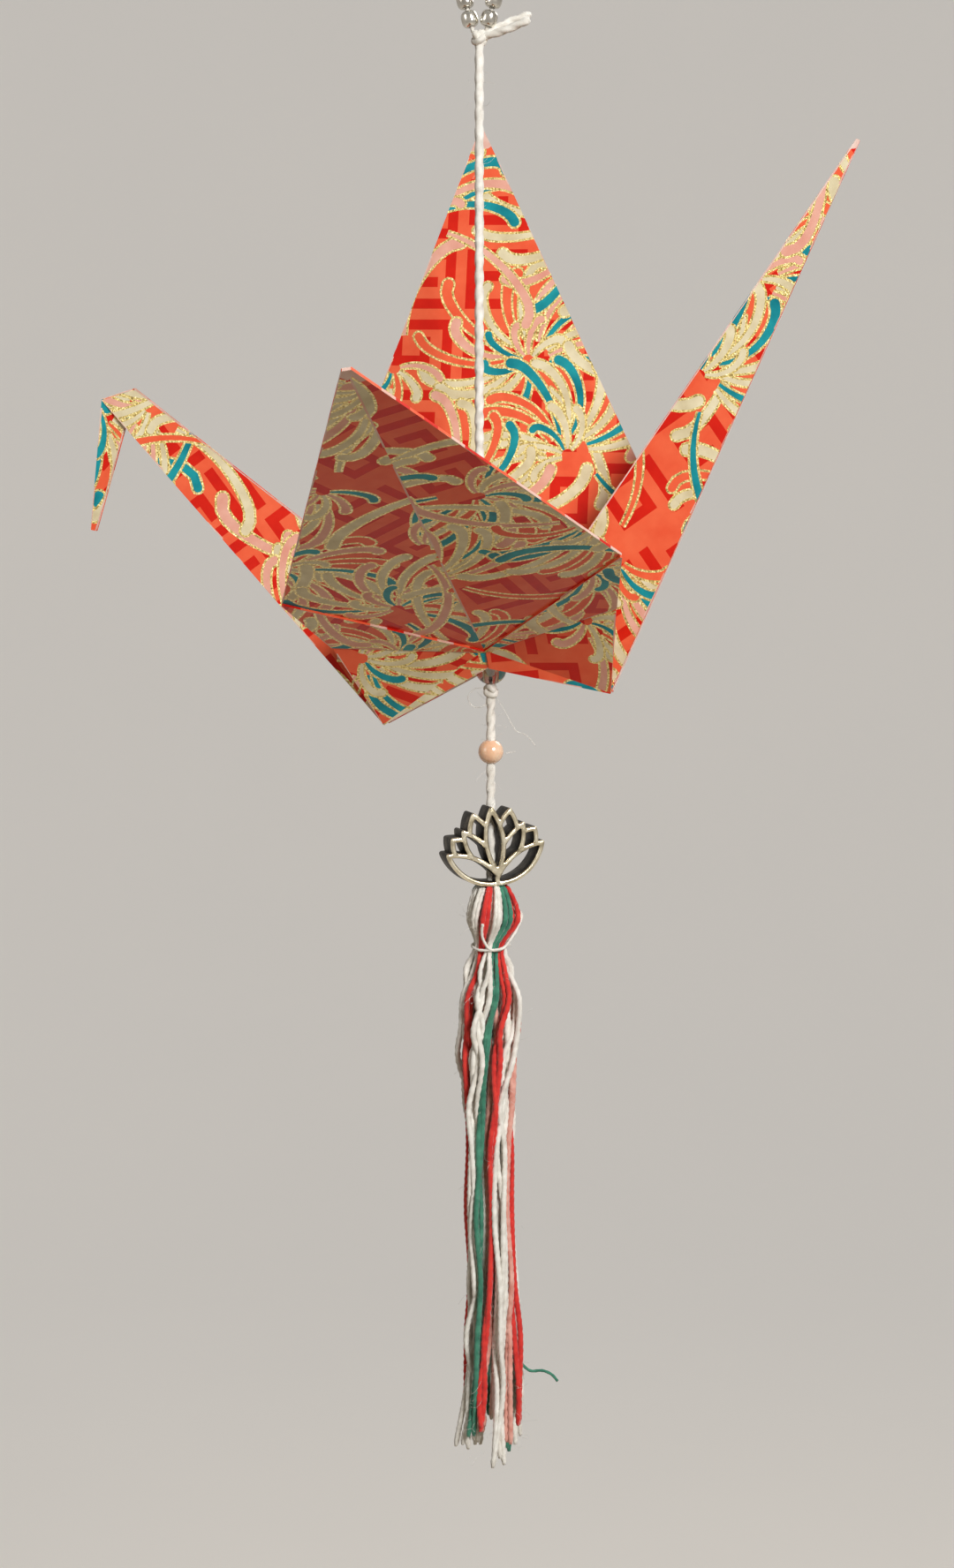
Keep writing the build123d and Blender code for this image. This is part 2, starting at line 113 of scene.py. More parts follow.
def toward(angle):
    """The flat direction at an angle from the right."""
    return Vector((cos(angle), sin(angle)))


def left_of(direction):
    return Vector((-direction.y, direction.x))


def edges_of(loop):
    """Each point of a closed loop with the next one."""
    return zip(loop, loop[1:] + loop[:1])


def colour(red, green, blue):
    """A colour written as 0 to 255 on screen, as linear light."""
    parts = [value / 255 for value in (red, green, blue)]
    linear = [value / 12.92 if value <= 0.04045 else ((value + 0.055) / 1.055) ** 2.4 for value in parts]
    return (*linear, 1.0)


# Materials


RAMP_START = 0.3
RAMP_END = 0.7


def shader_of(material):
    return material.node_tree.nodes["Principled BSDF"]


def set_inputs(node, values):
    for key, value in values.items():
        node.inputs[key.replace("_", " ")].default_value = value


def new_material(name, **values):
    material = bpy.data.materials.new(name)
    material.use_nodes = True
    set_inputs(shader_of(material), values)
    return material


def add_node(material, kind, **values):
    node = material.node_tree.nodes.new(kind)
    set_inputs(node, values)
    return node


def join(material, source, target):
    material.node_tree.links.new(source, target)


def object_noise(material, per_mm, detail=3.0):
    """Noise laid in the object's own millimetres."""
    place = add_node(material, "ShaderNodeTexCoord")
    noise = add_node(material, "ShaderNodeTexNoise", Scale=per_mm / MM, Detail=detail)
    join(material, place.outputs["Object"], noise.inputs["Vector"])
    return noise


def mottle(material, shades, per_mm, detail=3.0):
    """Colours the surface with a noise that runs through the given shades."""
    noise = object_noise(material, per_mm, detail)
    ramp = add_node(material, "ShaderNodeValToRGB")
    steps = ramp.color_ramp.elements
    steps[0].position, steps[0].color = RAMP_START, colour(*shades[0])
    steps[1].position, steps[1].color = RAMP_END, colour(*shades[-1])
    for index, shade in enumerate(shades[1:-1], start=1):
        steps.new(RAMP_START + (RAMP_END - RAMP_START) * index / (len(shades) - 1)).color = colour(*shade)
    join(material, noise.outputs["Fac"], ramp.inputs["Fac"])
    join(material, ramp.outputs["Color"], shader_of(material).inputs["Base Color"])


def roughen(material, per_mm, depth_mm, strength=1.0, detail=3.0):
    """Raises the surface with a noise of the given size and depth."""
    noise = object_noise(material, per_mm, detail)
    bump = add_node(material, "ShaderNodeBump", Strength=strength, Distance=depth_mm * MM)
    join(material, noise.outputs["Fac"], bump.inputs["Height"])
    join(material, bump.outputs["Normal"], shader_of(material).inputs["Normal"])


def paper_material(name, shades):
    """Varnished printed paper."""
    material = new_material(
        "paper_" + name, Roughness=0.45, Coat_Weight=0.12, Coat_Roughness=0.18, Specular_IOR_Level=0.2
    )
    mottle(material, shades, per_mm=0.35, detail=6.0)
    roughen(material, per_mm=1.1, depth_mm=0.03, strength=0.5)
    return material


def gold_material(name, shades):
    """Metallic ink."""
    material = new_material(
        "paper_" + name, Roughness=0.38, Metallic=0.55, Coat_Weight=0.3, Coat_Roughness=0.1
    )
    mottle(material, shades, per_mm=4.0)
    roughen(material, per_mm=5.0, depth_mm=0.12)
    return material


def floss_material(name, shades):
    """Soft cotton floss."""
    material = new_material("floss_" + name, Roughness=0.85, Sheen_Weight=0.35)
    mottle(material, shades, per_mm=0.9, detail=5.0)
    roughen(material, per_mm=9.0, depth_mm=0.05, strength=0.6)
    return material


# Shades of the print, each as the two or three that its noise runs between
PAPER_SHADES = {
    "ground": ((234, 88, 54), (242, 106, 68)),
    "fret": ((204, 20, 4), (218, 32, 10)),
    "white": ((206, 190, 150), (236, 225, 190)),
    "pink": ((222, 152, 132), (236, 180, 160)),
    "teal": ((0, 116, 128), (28, 156, 164)),
    "gold": ((130, 104, 50), (216, 190, 110), (248, 236, 180)),
    "worn": ((222, 160, 142), (234, 206, 192)),
    "inside": ((214, 176, 164), (228, 204, 194)),
}
PAPER_ORDER = list(PAPER_SHADES)
PAPER = []
for paper_name, paper_shades in PAPER_SHADES.items():
    make_paper = gold_material if paper_name == "gold" else paper_material
    PAPER.append(make_paper(paper_name, paper_shades))

FLOSS_SHADES = {
    "white": ((216, 210, 198), (248, 245, 236)),
    "red": ((196, 26, 22), (232, 58, 46)),
    "green": ((30, 100, 78), (74, 146, 118)),
    "salmon": ((206, 128, 112), (236, 180, 164)),
}
FLOSS = {name: floss_material(name, shades) for name, shades in FLOSS_SHADES.items()}

silver_bright = new_material("silver_bright", Roughness=0.16, Metallic=1.0)
mottle(silver_bright, ((176, 170, 160), (226, 222, 212)), per_mm=0.8)
roughen(silver_bright, per_mm=3.0, depth_mm=0.02, strength=0.4)

silver_warm = new_material("silver_warm", Roughness=0.3, Metallic=1.0)
mottle(silver_warm, ((184, 172, 142), (224, 213, 186), (238, 230, 208)), per_mm=0.7, detail=5.0)
roughen(silver_warm, per_mm=2.4, depth_mm=0.05, strength=0.5)

silver_black = new_material("silver_black", Roughness=0.55, Metallic=0.7)
mottle(silver_black, ((16, 15, 13), (52, 48, 42), (96, 90, 80)), per_mm=0.9, detail=5.0)
roughen(silver_black, per_mm=3.0, depth_mm=0.06)

coral = new_material("coral", Roughness=0.22, Coat_Weight=0.7, Coat_Roughness=0.05, Subsurface_Weight=0.12)
mottle(coral, ((238, 170, 130), (249, 196, 156), (252, 210, 176)), per_mm=0.5, detail=4.0)

clear_glass = new_material("clear_glass", Roughness=0.03, Transmission_Weight=1.0, IOR=1.5)
mottle(clear_glass, ((236, 240, 238), (250, 252, 250)), per_mm=0.4)


# Mesh helpers


def new_piece(name, shape, materials, indices=None, smooth=True):
    """A mesh piece from points in millimetres and faces, riding on the model's one body."""
    points, faces = shape
    mesh = bpy.data.meshes.new(name)
    mesh.from_pydata([metres(point) for point in points], [], faces)
    for material in materials:
        mesh.materials.append(material)
    if indices:
        mesh.polygons.foreach_set("material_index", indices)
    mesh.polygons.foreach_set("use_smooth", [smooth] * len(faces))
    mesh.update()
    piece = bpy.data.objects.new(name, mesh)
    bpy.context.scene.collection.objects.link(piece)
    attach(piece, "root")
    return piece


def smooth_line(points, spacing):
    """A smooth line through the points, in steps of about the given length."""
    points = [Vector(point) for point in points]
    ends = [points[0] * 2 - points[1], *points, points[-1] * 2 - points[-2]]
    line = []
    for before, start, end, after in zip(ends, ends[1:], ends[2:], ends[3:]):
        steps = max(3, round((end - start).length / spacing))
        for step in range(steps):
            t = step / steps
            square = (before * 2 - start * 5 + end * 4 - after) * t**2
            cube = (start * 3 - before - end * 3 + after) * t**3
            line.append((start * 2 + (end - before) * t + square + cube) / 2)
    line.append(points[-1])
    return line


def twisted_tube(line, radii, plies, pitch, sides=12, groove=0.2, turn=0.0):
    """Points and faces of a round thread whose plies twist along it, with closed ends."""
    points, faces = [], []
    across = (line[1] - line[0]).normalized().orthogonal().normalized()
    travelled = 0.0
    for index, centre in enumerate(line):
        ahead = line[min(index + 1, len(line) - 1)] - line[max(index - 1, 0)]
        if index:
            travelled += (centre - line[index - 1]).length
        across = (across - ahead * (across.dot(ahead) / ahead.length_squared)).normalized()
        up = ahead.normalized().cross(across)
        twist = turn + FULL_TURN * travelled / pitch
        for side in range(sides):
            angle = FULL_TURN * side / sides
            lobe = abs(cos(plies / 2 * (angle - twist)))
            radius = radii[index] * (1 - groove + groove * lobe)
            points.append(centre + (across * cos(angle) + up * sin(angle)) * radius)
    for ring in range(len(line) - 1):
        for side in range(sides):
            beside = (side + 1) % sides
            low, high = ring * sides, (ring + 1) * sides
            faces.append((low + side, low + beside, high + beside, high + side))
    faces.append(tuple(reversed(range(sides))))
    faces.append(tuple(range((len(line) - 1) * sides, len(line) * sides)))
    return points, faces


def joined(shapes):
    """One list of points and one of faces from several."""
    points, faces = [], []
    for shape_points, shape_faces in shapes:
        start = len(points)
        points.extend(shape_points)
        faces.extend(tuple(start + corner for corner in face) for face in shape_faces)
    return points, faces


def turned(profile, place, sides=40):
    """A bored bead: a closed profile of (radius, height) turned about the local Z axis and placed."""
    points, faces = [], []
    count = len(profile)
    for side in range(sides):
        angle = FULL_TURN * side / sides
        for radius, height in profile:
            points.append(place @ Vector((radius * cos(angle), radius * sin(angle), height)))
    for side in range(sides):
        low, high = side * count, (side + 1) % sides * count
        for step in range(count):
            beside = (step + 1) % count
            faces.append((low + step, high + step, high + beside, low + beside))
    return points, faces


def bead_profile(radius, half_length, bore, power, steps=18):
    """A rounded bead's outline from bore to bore; a power above 2 makes it squarer."""
    outline = []
    for step in range(steps + 1):
        angle = pi * (step / steps - 0.5)
        out = bore + (radius - bore) * abs(cos(angle)) ** (2 / power)
        height = copysign(half_length * abs(sin(angle)) ** (2 / power), angle)
        outline.append((out, height))
    return outline


def ball_profile(radius, bore, steps=24):
    """A bored ball's outline, from the lower end of its bore to the upper."""
    limit = acos(bore / radius)
    angles = [limit * (2 * step / steps - 1) for step in range(steps + 1)]
    return [(radius * cos(angle), radius * sin(angle)) for angle in angles]


# Corners of the folded crane


def hang(x, y, z):
    """A point of the crane's own frame, tipped head-down and hung on the cord."""
    return Vector(
        (
            x * cos(CRANE_PITCH) - z * sin(CRANE_PITCH) + CRANE_SHIFT_X,
            y + CRANE_SHIFT_Y,
            x * sin(CRANE_PITCH) + z * cos(CRANE_PITCH) - CRANE_DROP,
        )
    )


HALF_WIDTH = PAPER_SIDE * (sqrt(2) - 1) / 2
LIMB_TIP_DEPTH = PAPER_SIDE / sqrt(2)
WING_TOP = PAPER_SIDE - LIMB_TIP_DEPTH
ROOT_DEPTH = LIMB_TIP_DEPTH - hypot(HALF_WIDTH, LIMB_TIP_DEPTH - HALF_WIDTH)
NARROW_SLOPE = tan(NARROWING_ANGLE)
WING_SLOPE = tan(2 * NARROWING_ANGLE)
CORNER_Y = (WING_TOP * WING_SLOPE - LIMB_TIP_DEPTH * NARROW_SLOPE) / (NARROW_SLOPE + WING_SLOPE)
CORNER_X = (WING_TOP - CORNER_Y) * WING_SLOPE
SHOULDER_X = LIMB_TIP_DEPTH * NARROW_SLOPE / (1 + NARROW_SLOPE)
WING_LENGTH = WING_TOP + ROOT_DEPTH
CORNER_RISE = CORNER_Y + ROOT_DEPTH
SHOULDER_RISE = ROOT_DEPTH - SHOULDER_X
LIMBS = (("head", -1, NECK_LIFT), ("tail", 1, TAIL_LIFT))


def heel(lift):
    crease_fall = tan((pi / 2 - lift) / 2)
    out = LIMB_LENGTH * NARROW_SLOPE / (1 + NARROW_SLOPE * crease_fall)
    return out, -out * crease_fall


HEEL_LEVEL = (heel(NECK_LIFT)[1] + heel(TAIL_LIFT)[1]) / 2
WALL_HEIGHT = LIMB_TIP_DEPTH - LIMB_LENGTH - ROOT_DEPTH - HEEL_LEVEL
LIP_SHARE = -HEEL_LEVEL / WALL_HEIGHT


def crane_half(wing):
    """Corners of one wing and its body wall."""
    side, lift, sweep = wing["side"], wing["lift"], wing["sweep"]
    root_y = side * (BODY_HALF_GAP + WALL_HEIGHT * cos(WALL_LEAN))
    root = Vector((0, root_y, HEEL_LEVEL + WALL_HEIGHT * sin(WALL_LEAN)))
    level = cos(sweep)
    along = Vector((sin(sweep), side * level * cos(lift), level * sin(lift)))
    across = (Vector((1, 0, 0)) - along * along.x).normalized()
    lip_y = side * (BODY_HALF_GAP + LIP_SHARE * WALL_HEIGHT * cos(WALL_LEAN))
    half = {
        "root": root,
        "tip": root + along * WING_LENGTH,
        "lip": Vector((0, lip_y, HEEL_LEVEL + LIP_SHARE * WALL_HEIGHT * sin(WALL_LEAN))),
    }
    for end, sign, limb_lift in LIMBS:
        heel_x, heel_z = heel(limb_lift)
        half["corner", end] = root + along * CORNER_RISE + across * (sign * CORNER_X)
        half["shoulder", end] = root + along * SHOULDER_RISE + across * (sign * SHOULDER_X)
        half["heel", end] = Vector((sign * heel_x, side * BODY_HALF_GAP, heel_z))
        half["spine", end] = Vector((sign * SPINE_OFFSET, 0, 0))
        half["limb", end] = Vector((sign * cos(limb_lift), 0, sin(limb_lift))) * LIMB_LENGTH
    return half


def crown_point(near, far):
    """The paper's centre: as far from the four shoulders as it is in the flat sheet."""
    low = (near["shoulder", "head"] + near["shoulder", "tail"]) / 2
    high = (far["shoulder", "head"] + far["shoulder", "tail"]) / 2
    middle = (low + high) / 2
    direction = (high - low).normalized()
    rise = sqrt(SHOULDER_X**2 - ((high - low).length / 2) ** 2)
    return Vector((0, middle.y - direction.z * rise, middle.z + direction.y * rise))


def worn(points, index, wear):
    """The same corners, with one sharp tip worn back to a short blunt edge."""
    tip = points[index]
    before, after = points[index - 1], points[(index + 1) % len(points)]
    middle = ((before - tip).normalized() + (after - tip).normalized()).normalized()
    blunt = []
    for neighbour in (before, after):
        edge = (neighbour - tip).normalized()
        blunt.append(tip + edge * (wear / edge.dot(middle)))
    return points[:index] + blunt + points[index + 1 :]


def mirrored_over_line(point, start, end):
    direction = (end - start).normalized()
    foot = start + direction * (point - start).dot(direction)
    return foot * 2 - point


def wing_facets(half, wear):
    """The wing itself, which has a seam on its outer face, and the two flaps that lie there."""
    root, tip = half["root"], half["tip"]
    outward = (half["corner", "tail"] - root).cross(tip - root).normalized()
    if outward.z > 0:
        outward = -outward
    lift_off = outward * (FLAP_LIFT * WING_PLY)
    wing = worn([root, half["corner", "tail"], tip, half["corner", "head"]], 2, wear)
    facets = [{"corners": wing, "ply": WING_PLY, "seam": (root, tip), "outward": outward, "tip": tip}]
    for end, _, _ in LIMBS:
        flap = (half["corner", end], root, half["shoulder", end])
        facets.append({"corners": [corner + lift_off for corner in flap], "ply": WING_PLY})
    return facets


def body_facets(half, crown):
    """The wall below one wing, its half of the hump, and the folds inside the body."""
    facets = [{"corners": [crown, half["shoulder", "head"], half["shoulder", "tail"]], "ply": BODY_PLY}]
    for end, _, _ in LIMBS:
        shoulder, low, spine = half["shoulder", end], half["heel", end], half["spine", end]
        facets.append({"corners": [half["root"], shoulder, low], "ply": LIMB_PLY})
        facets.append({"corners": [half["root"], low, half["lip"]], "ply": LIMB_PLY})
        facets.append({"corners": [crown, shoulder, spine], "ply": BODY_PLY})
        facets.append({"corners": [shoulder, low, spine], "ply": BODY_PLY})
        facets.append({"corners": [spine, half["lip"], low], "ply": BODY_PLY})
    return facets


def limb_facets(half):
    """One wall each of the tail, the neck and the beak."""
    tail = worn([half["spine", "tail"], half["heel", "tail"], half["limb", "tail"]], 2, TAIL_WEAR)
    spine, low, limb = half["spine", "head"], half["heel", "head"], half["limb", "head"]
    brow = limb + (spine - limb).normalized() * BEAK_SPINE
    throat = limb + (low - limb).normalized() * BEAK_EDGE
    beak_tip = mirrored_over_line(limb, brow, Vector((throat.x, 0, throat.z)))
    beak = worn([brow, throat, beak_tip], 2, BEAK_WEAR)
    inward = Vector((0, -low.y, 0))
    return [
        {"corners": tail, "ply": LIMB_PLY, "inward": inward, "tip": half["limb", "tail"]},
        {"corners": [spine, low, throat, brow], "ply": LIMB_PLY, "inward": inward},
        {"corners": beak, "ply": LIMB_PLY, "inward": inward, "tip": beak_tip},
    ]


# Print: whorls of curved petals with gold outlines over a tonal fret, laid out on a flat plane in millimetres

PRINT_SPAN = 190.0
PRINT_PLACES = (45, 145)
WHORL_SPACING = 17.5
GOLD_WIDTH = 0.30
PETAL_COLOURS = ("white", "white", "white", "pink", "pink", "teal", "teal", "white", "ground")
WORN_TIP_DEPTH = (1.6, 3.4)
WORN_TIP_STEPS = (-3.0, -0.9, -0.3, 0.25, 0.8, 3.0)
# Scuffs along the folds: the shortest edge that has them, and the ranges of their sizes
SCUFF_SHORTEST = 3
SCUFF_START = (0, 4)
SCUFF_LENGTH = (1, 7)
SCUFF_DEPTH = (0.06, 0.2)
SCUFF_GAP = (0.5, 9)
# Shares of a wing's seam where its worn stretches start and stop
WORN_SEAM = (0.08, 0.36, 0.42, 0.7, 0.76, 0.97)
WORN_SEAM_WIDTH = 0.11
RIM_STEP = 2.5
RIM_COLOURS = ("ground", "fret", "ground", "worn")
PAST_THE_SHEET = 100.0
FLAT_LIMIT = radians(0.6)
FRET_PITCH = 9.4
FRET_WIDTH = 1.35
FRET_MIDDLE = Vector((3.3, 3.3))
FRET_TURNS = ((0, 0), (6.6, 0), (6.6, 6.6), (1.8, 6.6), (1.8, 2.9), (4.3, 2.9))
WHORL_SHIFT = 4.5
CAP_STEPS = 5


def petal_line(start, heading, length, curl, hook, steps=13):
    """The middle line of a petal that bends one way all along and hooks over at its end."""
    line = [start]
    for step in range(steps):
        t = (step + 0.5) / steps
        turn = heading + curl * t + hook * max(0.0, 4 * t - 3) ** 2
        line.append(line[-1] + toward(turn) * (length / steps))
    return line


def petal_outline(line, half_width, extra):
    """A petal's outline: thin at its foot, widest at its round end."""
    left, right = [], []
    count = len(line) - 1
    for step, point in enumerate(line):
        ahead = (line[min(step + 1, count)] - line[max(step - 1, 0)]).normalized()
        half = half_width * (0.3 + 0.7 * (step / count) ** 0.8) + extra
        side = left_of(ahead) * half
        left.append(point + side)
        right.append(point - side)
    cap = []
    for step in range(1, CAP_STEPS):
        angle = pi * (0.5 - step / CAP_STEPS)
        cap.append(line[-1] + ahead * (half * cos(angle)) + side * sin(angle))
    return left + cap + right[::-1]


PETAL_JITTER = 0.06
PETAL_CURL = (0.8, 1.5)
PETAL_HOOK = (0.3, 1.3)
PETAL_LEAN = 0.3
PETAL_WIDENING = (0.85, 1.2)
FAN_STEP = (0.3, 0.9)
# Kinds of petal: how many, the fan's angle, distance of the feet from the middle, length and half width
PETAL_KINDS = (
    ((2, 3), (1.5, 3.0), 4.5, (15.0, 22.0), 0.62),
    ((10, 14), (2.8, 4.4), 2.8, (9.5, 13.5), 0.60),
    ((5, 7), (2.4, 4.8), 0.8, (4.5, 6.5), 0.50),
)


def whorl(centre):
    """Petals of one flower: a few long tendrils, a fan of curved petals and short ones in the middle."""
    hand = RANDOM.choice((-1, 1))
    first = any_angle()
    petals = []
    for counts, fans, foot, lengths, half_width in PETAL_KINDS:
        count = RANDOM.randint(*counts)
        fan = RANDOM.uniform(*fans)
        for index in range(count):
            angle = first + fan * index / count + RANDOM.uniform(-PETAL_JITTER, PETAL_JITTER)
            start = centre + toward(angle) * foot
            curl = hand * RANDOM.uniform(*PETAL_CURL)
            hook = hand * RANDOM.uniform(*PETAL_HOOK)
            line = petal_line(start, angle - PETAL_LEAN * curl, RANDOM.uniform(*lengths), curl, hook)
            petals.append((RANDOM.choice(PETAL_COLOURS), line, half_width * RANDOM.uniform(*PETAL_WIDENING)))
        first += RANDOM.uniform(*FAN_STEP)
    return petals


def fret_shapes():
    """Strokes of a square key fret, each cell turned from its neighbours."""
    shapes = []
    count = int(PRINT_SPAN / FRET_PITCH)
    for row in range(count):
        for column in range(count):
            turn = Matrix.Rotation(pi / 2 * ((row + 2 * column) % 4), 2)
            corner = Vector((column, row)) * FRET_PITCH
            bends = [turn @ (Vector(bend) - FRET_MIDDLE) + FRET_MIDDLE + corner for bend in FRET_TURNS]
            for start, end in zip(bends, bends[1:]):
                ahead = (end - start).normalized() * (FRET_WIDTH / 2)
                side = left_of(ahead)
                first, last = start - ahead, end + ahead
                shapes.append(("fret", [first - side, last - side, last + side, first + side]))
    return shapes


def petal_shapes():
    shapes = []
    rows = int(PRINT_SPAN / WHORL_SPACING)
    centres = []
    for row in range(rows + 1):
        for column in range(rows + 1):
            shift = Vector([RANDOM.uniform(-WHORL_SHIFT, WHORL_SHIFT) for _ in range(2)])
            centres.append(Vector((column + 0.5 * (row % 2), row)) * WHORL_SPACING + shift)
    RANDOM.shuffle(centres)
    for centre in centres:
        for name, line, half_width in whorl(centre):
            shapes.append(("gold", petal_outline(line, half_width, GOLD_WIDTH)))
            shapes.append((name, petal_outline(line, half_width, 0.0)))
    return shapes


def anticlockwise(outline):
    """The outline, turned round if it runs clockwise."""
    area = sum(a.x * b.y - b.x * a.y for a, b in edges_of(outline))
    return outline if area > 0 else outline[::-1]


PRINT = [(name, anticlockwise(outline)) for name, outline in fret_shapes() + petal_shapes()]


def may_touch(shape, outline):
    """False if all of a shape lies outside one edge of a convex outline."""
    for start, end in edges_of(outline):
        along = end - start
        if all(along.x * (point.y - start.y) < along.y * (point.x - start.x) for point in shape):
            return False
    return True


def worn_edges(outline):
    """Short pale scuffs along the folds."""
    scuffs = []
    for start, end in edges_of(outline):
        along = end - start
        if along.length < SCUFF_SHORTEST:
            continue
        inward = left_of(along).normalized()
        position = RANDOM.uniform(*SCUFF_START)
        while position < along.length - 1:
            stop = min(position + RANDOM.uniform(*SCUFF_LENGTH), along.length)
            depth = inward * RANDOM.uniform(*SCUFF_DEPTH)
            first, last = start + along.normalized() * position, start + along.normalized() * stop
            scuffs.append(("worn", [first - depth, last - depth, last + depth * 0.4, first + depth]))
            position = stop + RANDOM.uniform(*SCUFF_GAP)
    return scuffs


def worn_tip(tip, middle):
    """A pale patch with an uneven edge where a point of the paper is rubbed."""
    back = (middle - tip).normalized()
    side = left_of(back)
    patch = [tip - back * 2 + side * 3, tip - back * 2 - side * 3]
    for across in WORN_TIP_STEPS:
        patch.append(tip + back * RANDOM.uniform(*WORN_TIP_DEPTH) + side * across)
    return patch


def only_used(points, faces):
    """The points that the faces use, and the faces renumbered to match."""
    used = sorted({corner for face in faces for corner in face})
    number = {corner: index for index, corner in enumerate(used)}
    kept = [points[corner] for corner in used]
    return kept, [tuple(number[corner] for corner in face) for face in faces]


def printed_triangles(outline, keep=None, scuffs=()):
    """Cuts a facet, laid on the print, into triangles of one colour each. keep is a further limit."""
    outline = anticlockwise(outline)
    keep = anticlockwise(keep) if keep else outline
    shapes = [("ground", outline), ("keep", keep)]
    for name, shape in PRINT:
        if may_touch(shape, outline) and may_touch(shape, keep):
            shapes.append((name, shape))
    shapes.extend((name, anticlockwise(shape)) for name, shape in scuffs)
    points, loops = [], []
    for _, shape in shapes:
        loops.append(list(range(len(points), len(points) + len(shape))))
        points.extend(shape)
    found = delaunay_2d_cdt(points, [], loops, 1, 1e-5, True)
    triangles, colours = [], []
    for face, sources in zip(found[2], found[5]):
        if 0 in sources and 1 in sources:
            top = max(source for source in sources if source != 1)
            triangles.append(tuple(face))
            colours.append(PAPER_ORDER.index(shapes[top][0]))
    return *only_used(found[0], triangles), colours


def grown(outline, reach):
    """The flat outline moved out by its reach round the folds, with each corner cut off twice."""
    moved = []
    for index, corner in enumerate(outline):
        arriving = (corner - outline[index - 1]).normalized()
        leaving = (outline[(index + 1) % len(outline)] - corner).normalized()
        cut = tan(arriving.angle(leaving) / 4)
        moved.append(corner + (Vector((arriving.y, -arriving.x)) + arriving * cut) * reach)
        moved.append(corner + (Vector((leaving.y, -leaving.x)) - leaving * cut) * reach)
    return moved


class PaperMesh:
    """Collects the printed facets of the crane."""

    def __init__(self):
        self.points, self.faces, self.colours = [], [], []

    def add(self, points, faces, colours):
        start = len(self.points)
        self.points.extend(points)
        self.faces.extend(tuple(start + corner for corner in face) for face in faces)
        self.colours.extend(colours)

    def add_side(self, outline, lift, place, flip, keep=None, patches=()):
        """One printed side of a facet: the outline lies in its plane, which place maps to the crane."""
        turn = Matrix.Rotation(any_angle(), 2)
        middle = sum(outline, Vector((0, 0))) / len(outline)
        centre = Vector([RANDOM.uniform(*PRINT_PLACES) for _ in range(2)])

        def laid(loop):
            return [turn @ (point - middle) + centre for point in loop]

        on_print = laid(outline)
        scuffs = worn_edges(on_print) + [("worn", laid(patch)) for patch in patches]
        points, triangles, colours = printed_triangles(on_print, laid(keep) if keep else None, scuffs)
        back = turn.transposed()
        flat = [back @ (point - centre) + middle for point in points]
        if flip:
            triangles = [tuple(reversed(triangle)) for triangle in triangles]
        self.add([place @ Vector((point.x, point.y, lift)) for point in flat], triangles, colours)

    def add_facet(self, facet):
        corners = [hang(*corner) for corner in facet["corners"]]
        normal = (corners[1] - corners[0]).cross(corners[2] - corners[0]).normalized()
        across = (corners[1] - corners[0]).normalized()
        up = normal.cross(across)
        place = Matrix.Translation(corners[0]) @ Matrix((across, up, normal)).transposed().to_4x4()
        to_plane = place.inverted()
        outline = grown([(to_plane @ corner).xy for corner in corners], FOLD_ROUND)
        half = facet["ply"] / 2
        for sign in (1, -1):
            self.add_face_of(facet, outline, sign, half, place, to_plane)
        self.add_rim(outline, half, place)

    def add_rim(self, outline, half, place):
        """The paper's edge, printed red and rubbed pale here and there."""
        line = []
        for start, end in edges_of(outline):
            steps = max(1, round((end - start).length / RIM_STEP))
            line.extend(start.lerp(end, step / steps) for step in range(steps))
        rim = len(line)
        ring = [place @ Vector((point.x, point.y, lift)) for lift in (half, -half) for point in line]
        sides = [(i, rim + i, rim + (i + 1) % rim, (i + 1) % rim) for i in range(rim)]
        names = [RANDOM.choice(RIM_COLOURS) for _ in range(rim)]
        self.add(ring, sides, [PAPER_ORDER.index(name) for name in names])

    def add_face_of(self, facet, outline, sign, half, place, to_plane):
        """One side of a facet, in two strips with a seam between them on a wing's outer face."""
        normal = place.to_3x3() @ Vector((0, 0, sign))
        if "inward" in facet and normal.dot(facet["inward"]) > 0:
            corners = [place @ Vector((point.x, point.y, sign * half)) for point in outline]
            order = tuple(range(len(outline)))
            self.add(corners, [order if sign > 0 else order[::-1]], [PAPER_ORDER.index("inside")])
            return
        middle = sum(outline, Vector((0, 0))) / len(outline)
        tips = [worn_tip((to_plane @ hang(*facet["tip"])).xy, middle)] if "tip" in facet else []
        if "seam" not in facet or normal.dot(turned_out(facet["outward"])) < 0:
            self.add_side(outline, sign * half, place, sign < 0, None, tips)
            return
        start, end = [(to_plane @ hang(*point)).xy for point in facet["seam"]]
        along = (end - start).normalized()
        side = left_of(along)
        ahead = along * PAST_THE_SHEET
        seam = [start.lerp(end, share) for share in WORN_SEAM]
        for hand in (1, -1):
            far = side * (hand * PAST_THE_SHEET)
            keep = [start - ahead, end + ahead, end + ahead + far, start - ahead + far]
            edge = side * (hand * WORN_SEAM_WIDTH)
            worn_seam = [[a, b, b + edge, a + edge] for a, b in zip(seam[::2], seam[1::2])]
            self.add_side(outline, sign * half, place, sign < 0, keep, tips + worn_seam)


def turned_out(direction):
    """A direction of the crane's own frame, tipped with it."""
    return hang(*direction) - hang(0, 0, 0)


def join_same_colour(mesh):
    """Joins flat triangles of one colour, then cuts each field into as few as it needs."""
    shape = bmesh.new()
    shape.from_mesh(mesh)
    bmesh.ops.dissolve_limit(
        shape, angle_limit=FLAT_LIMIT, verts=shape.verts, edges=shape.edges, delimit={"MATERIAL"}
    )
    bmesh.ops.triangulate(shape, faces=shape.faces, ngon_method="EAR_CLIP")
    shape.to_mesh(mesh)
    shape.free()


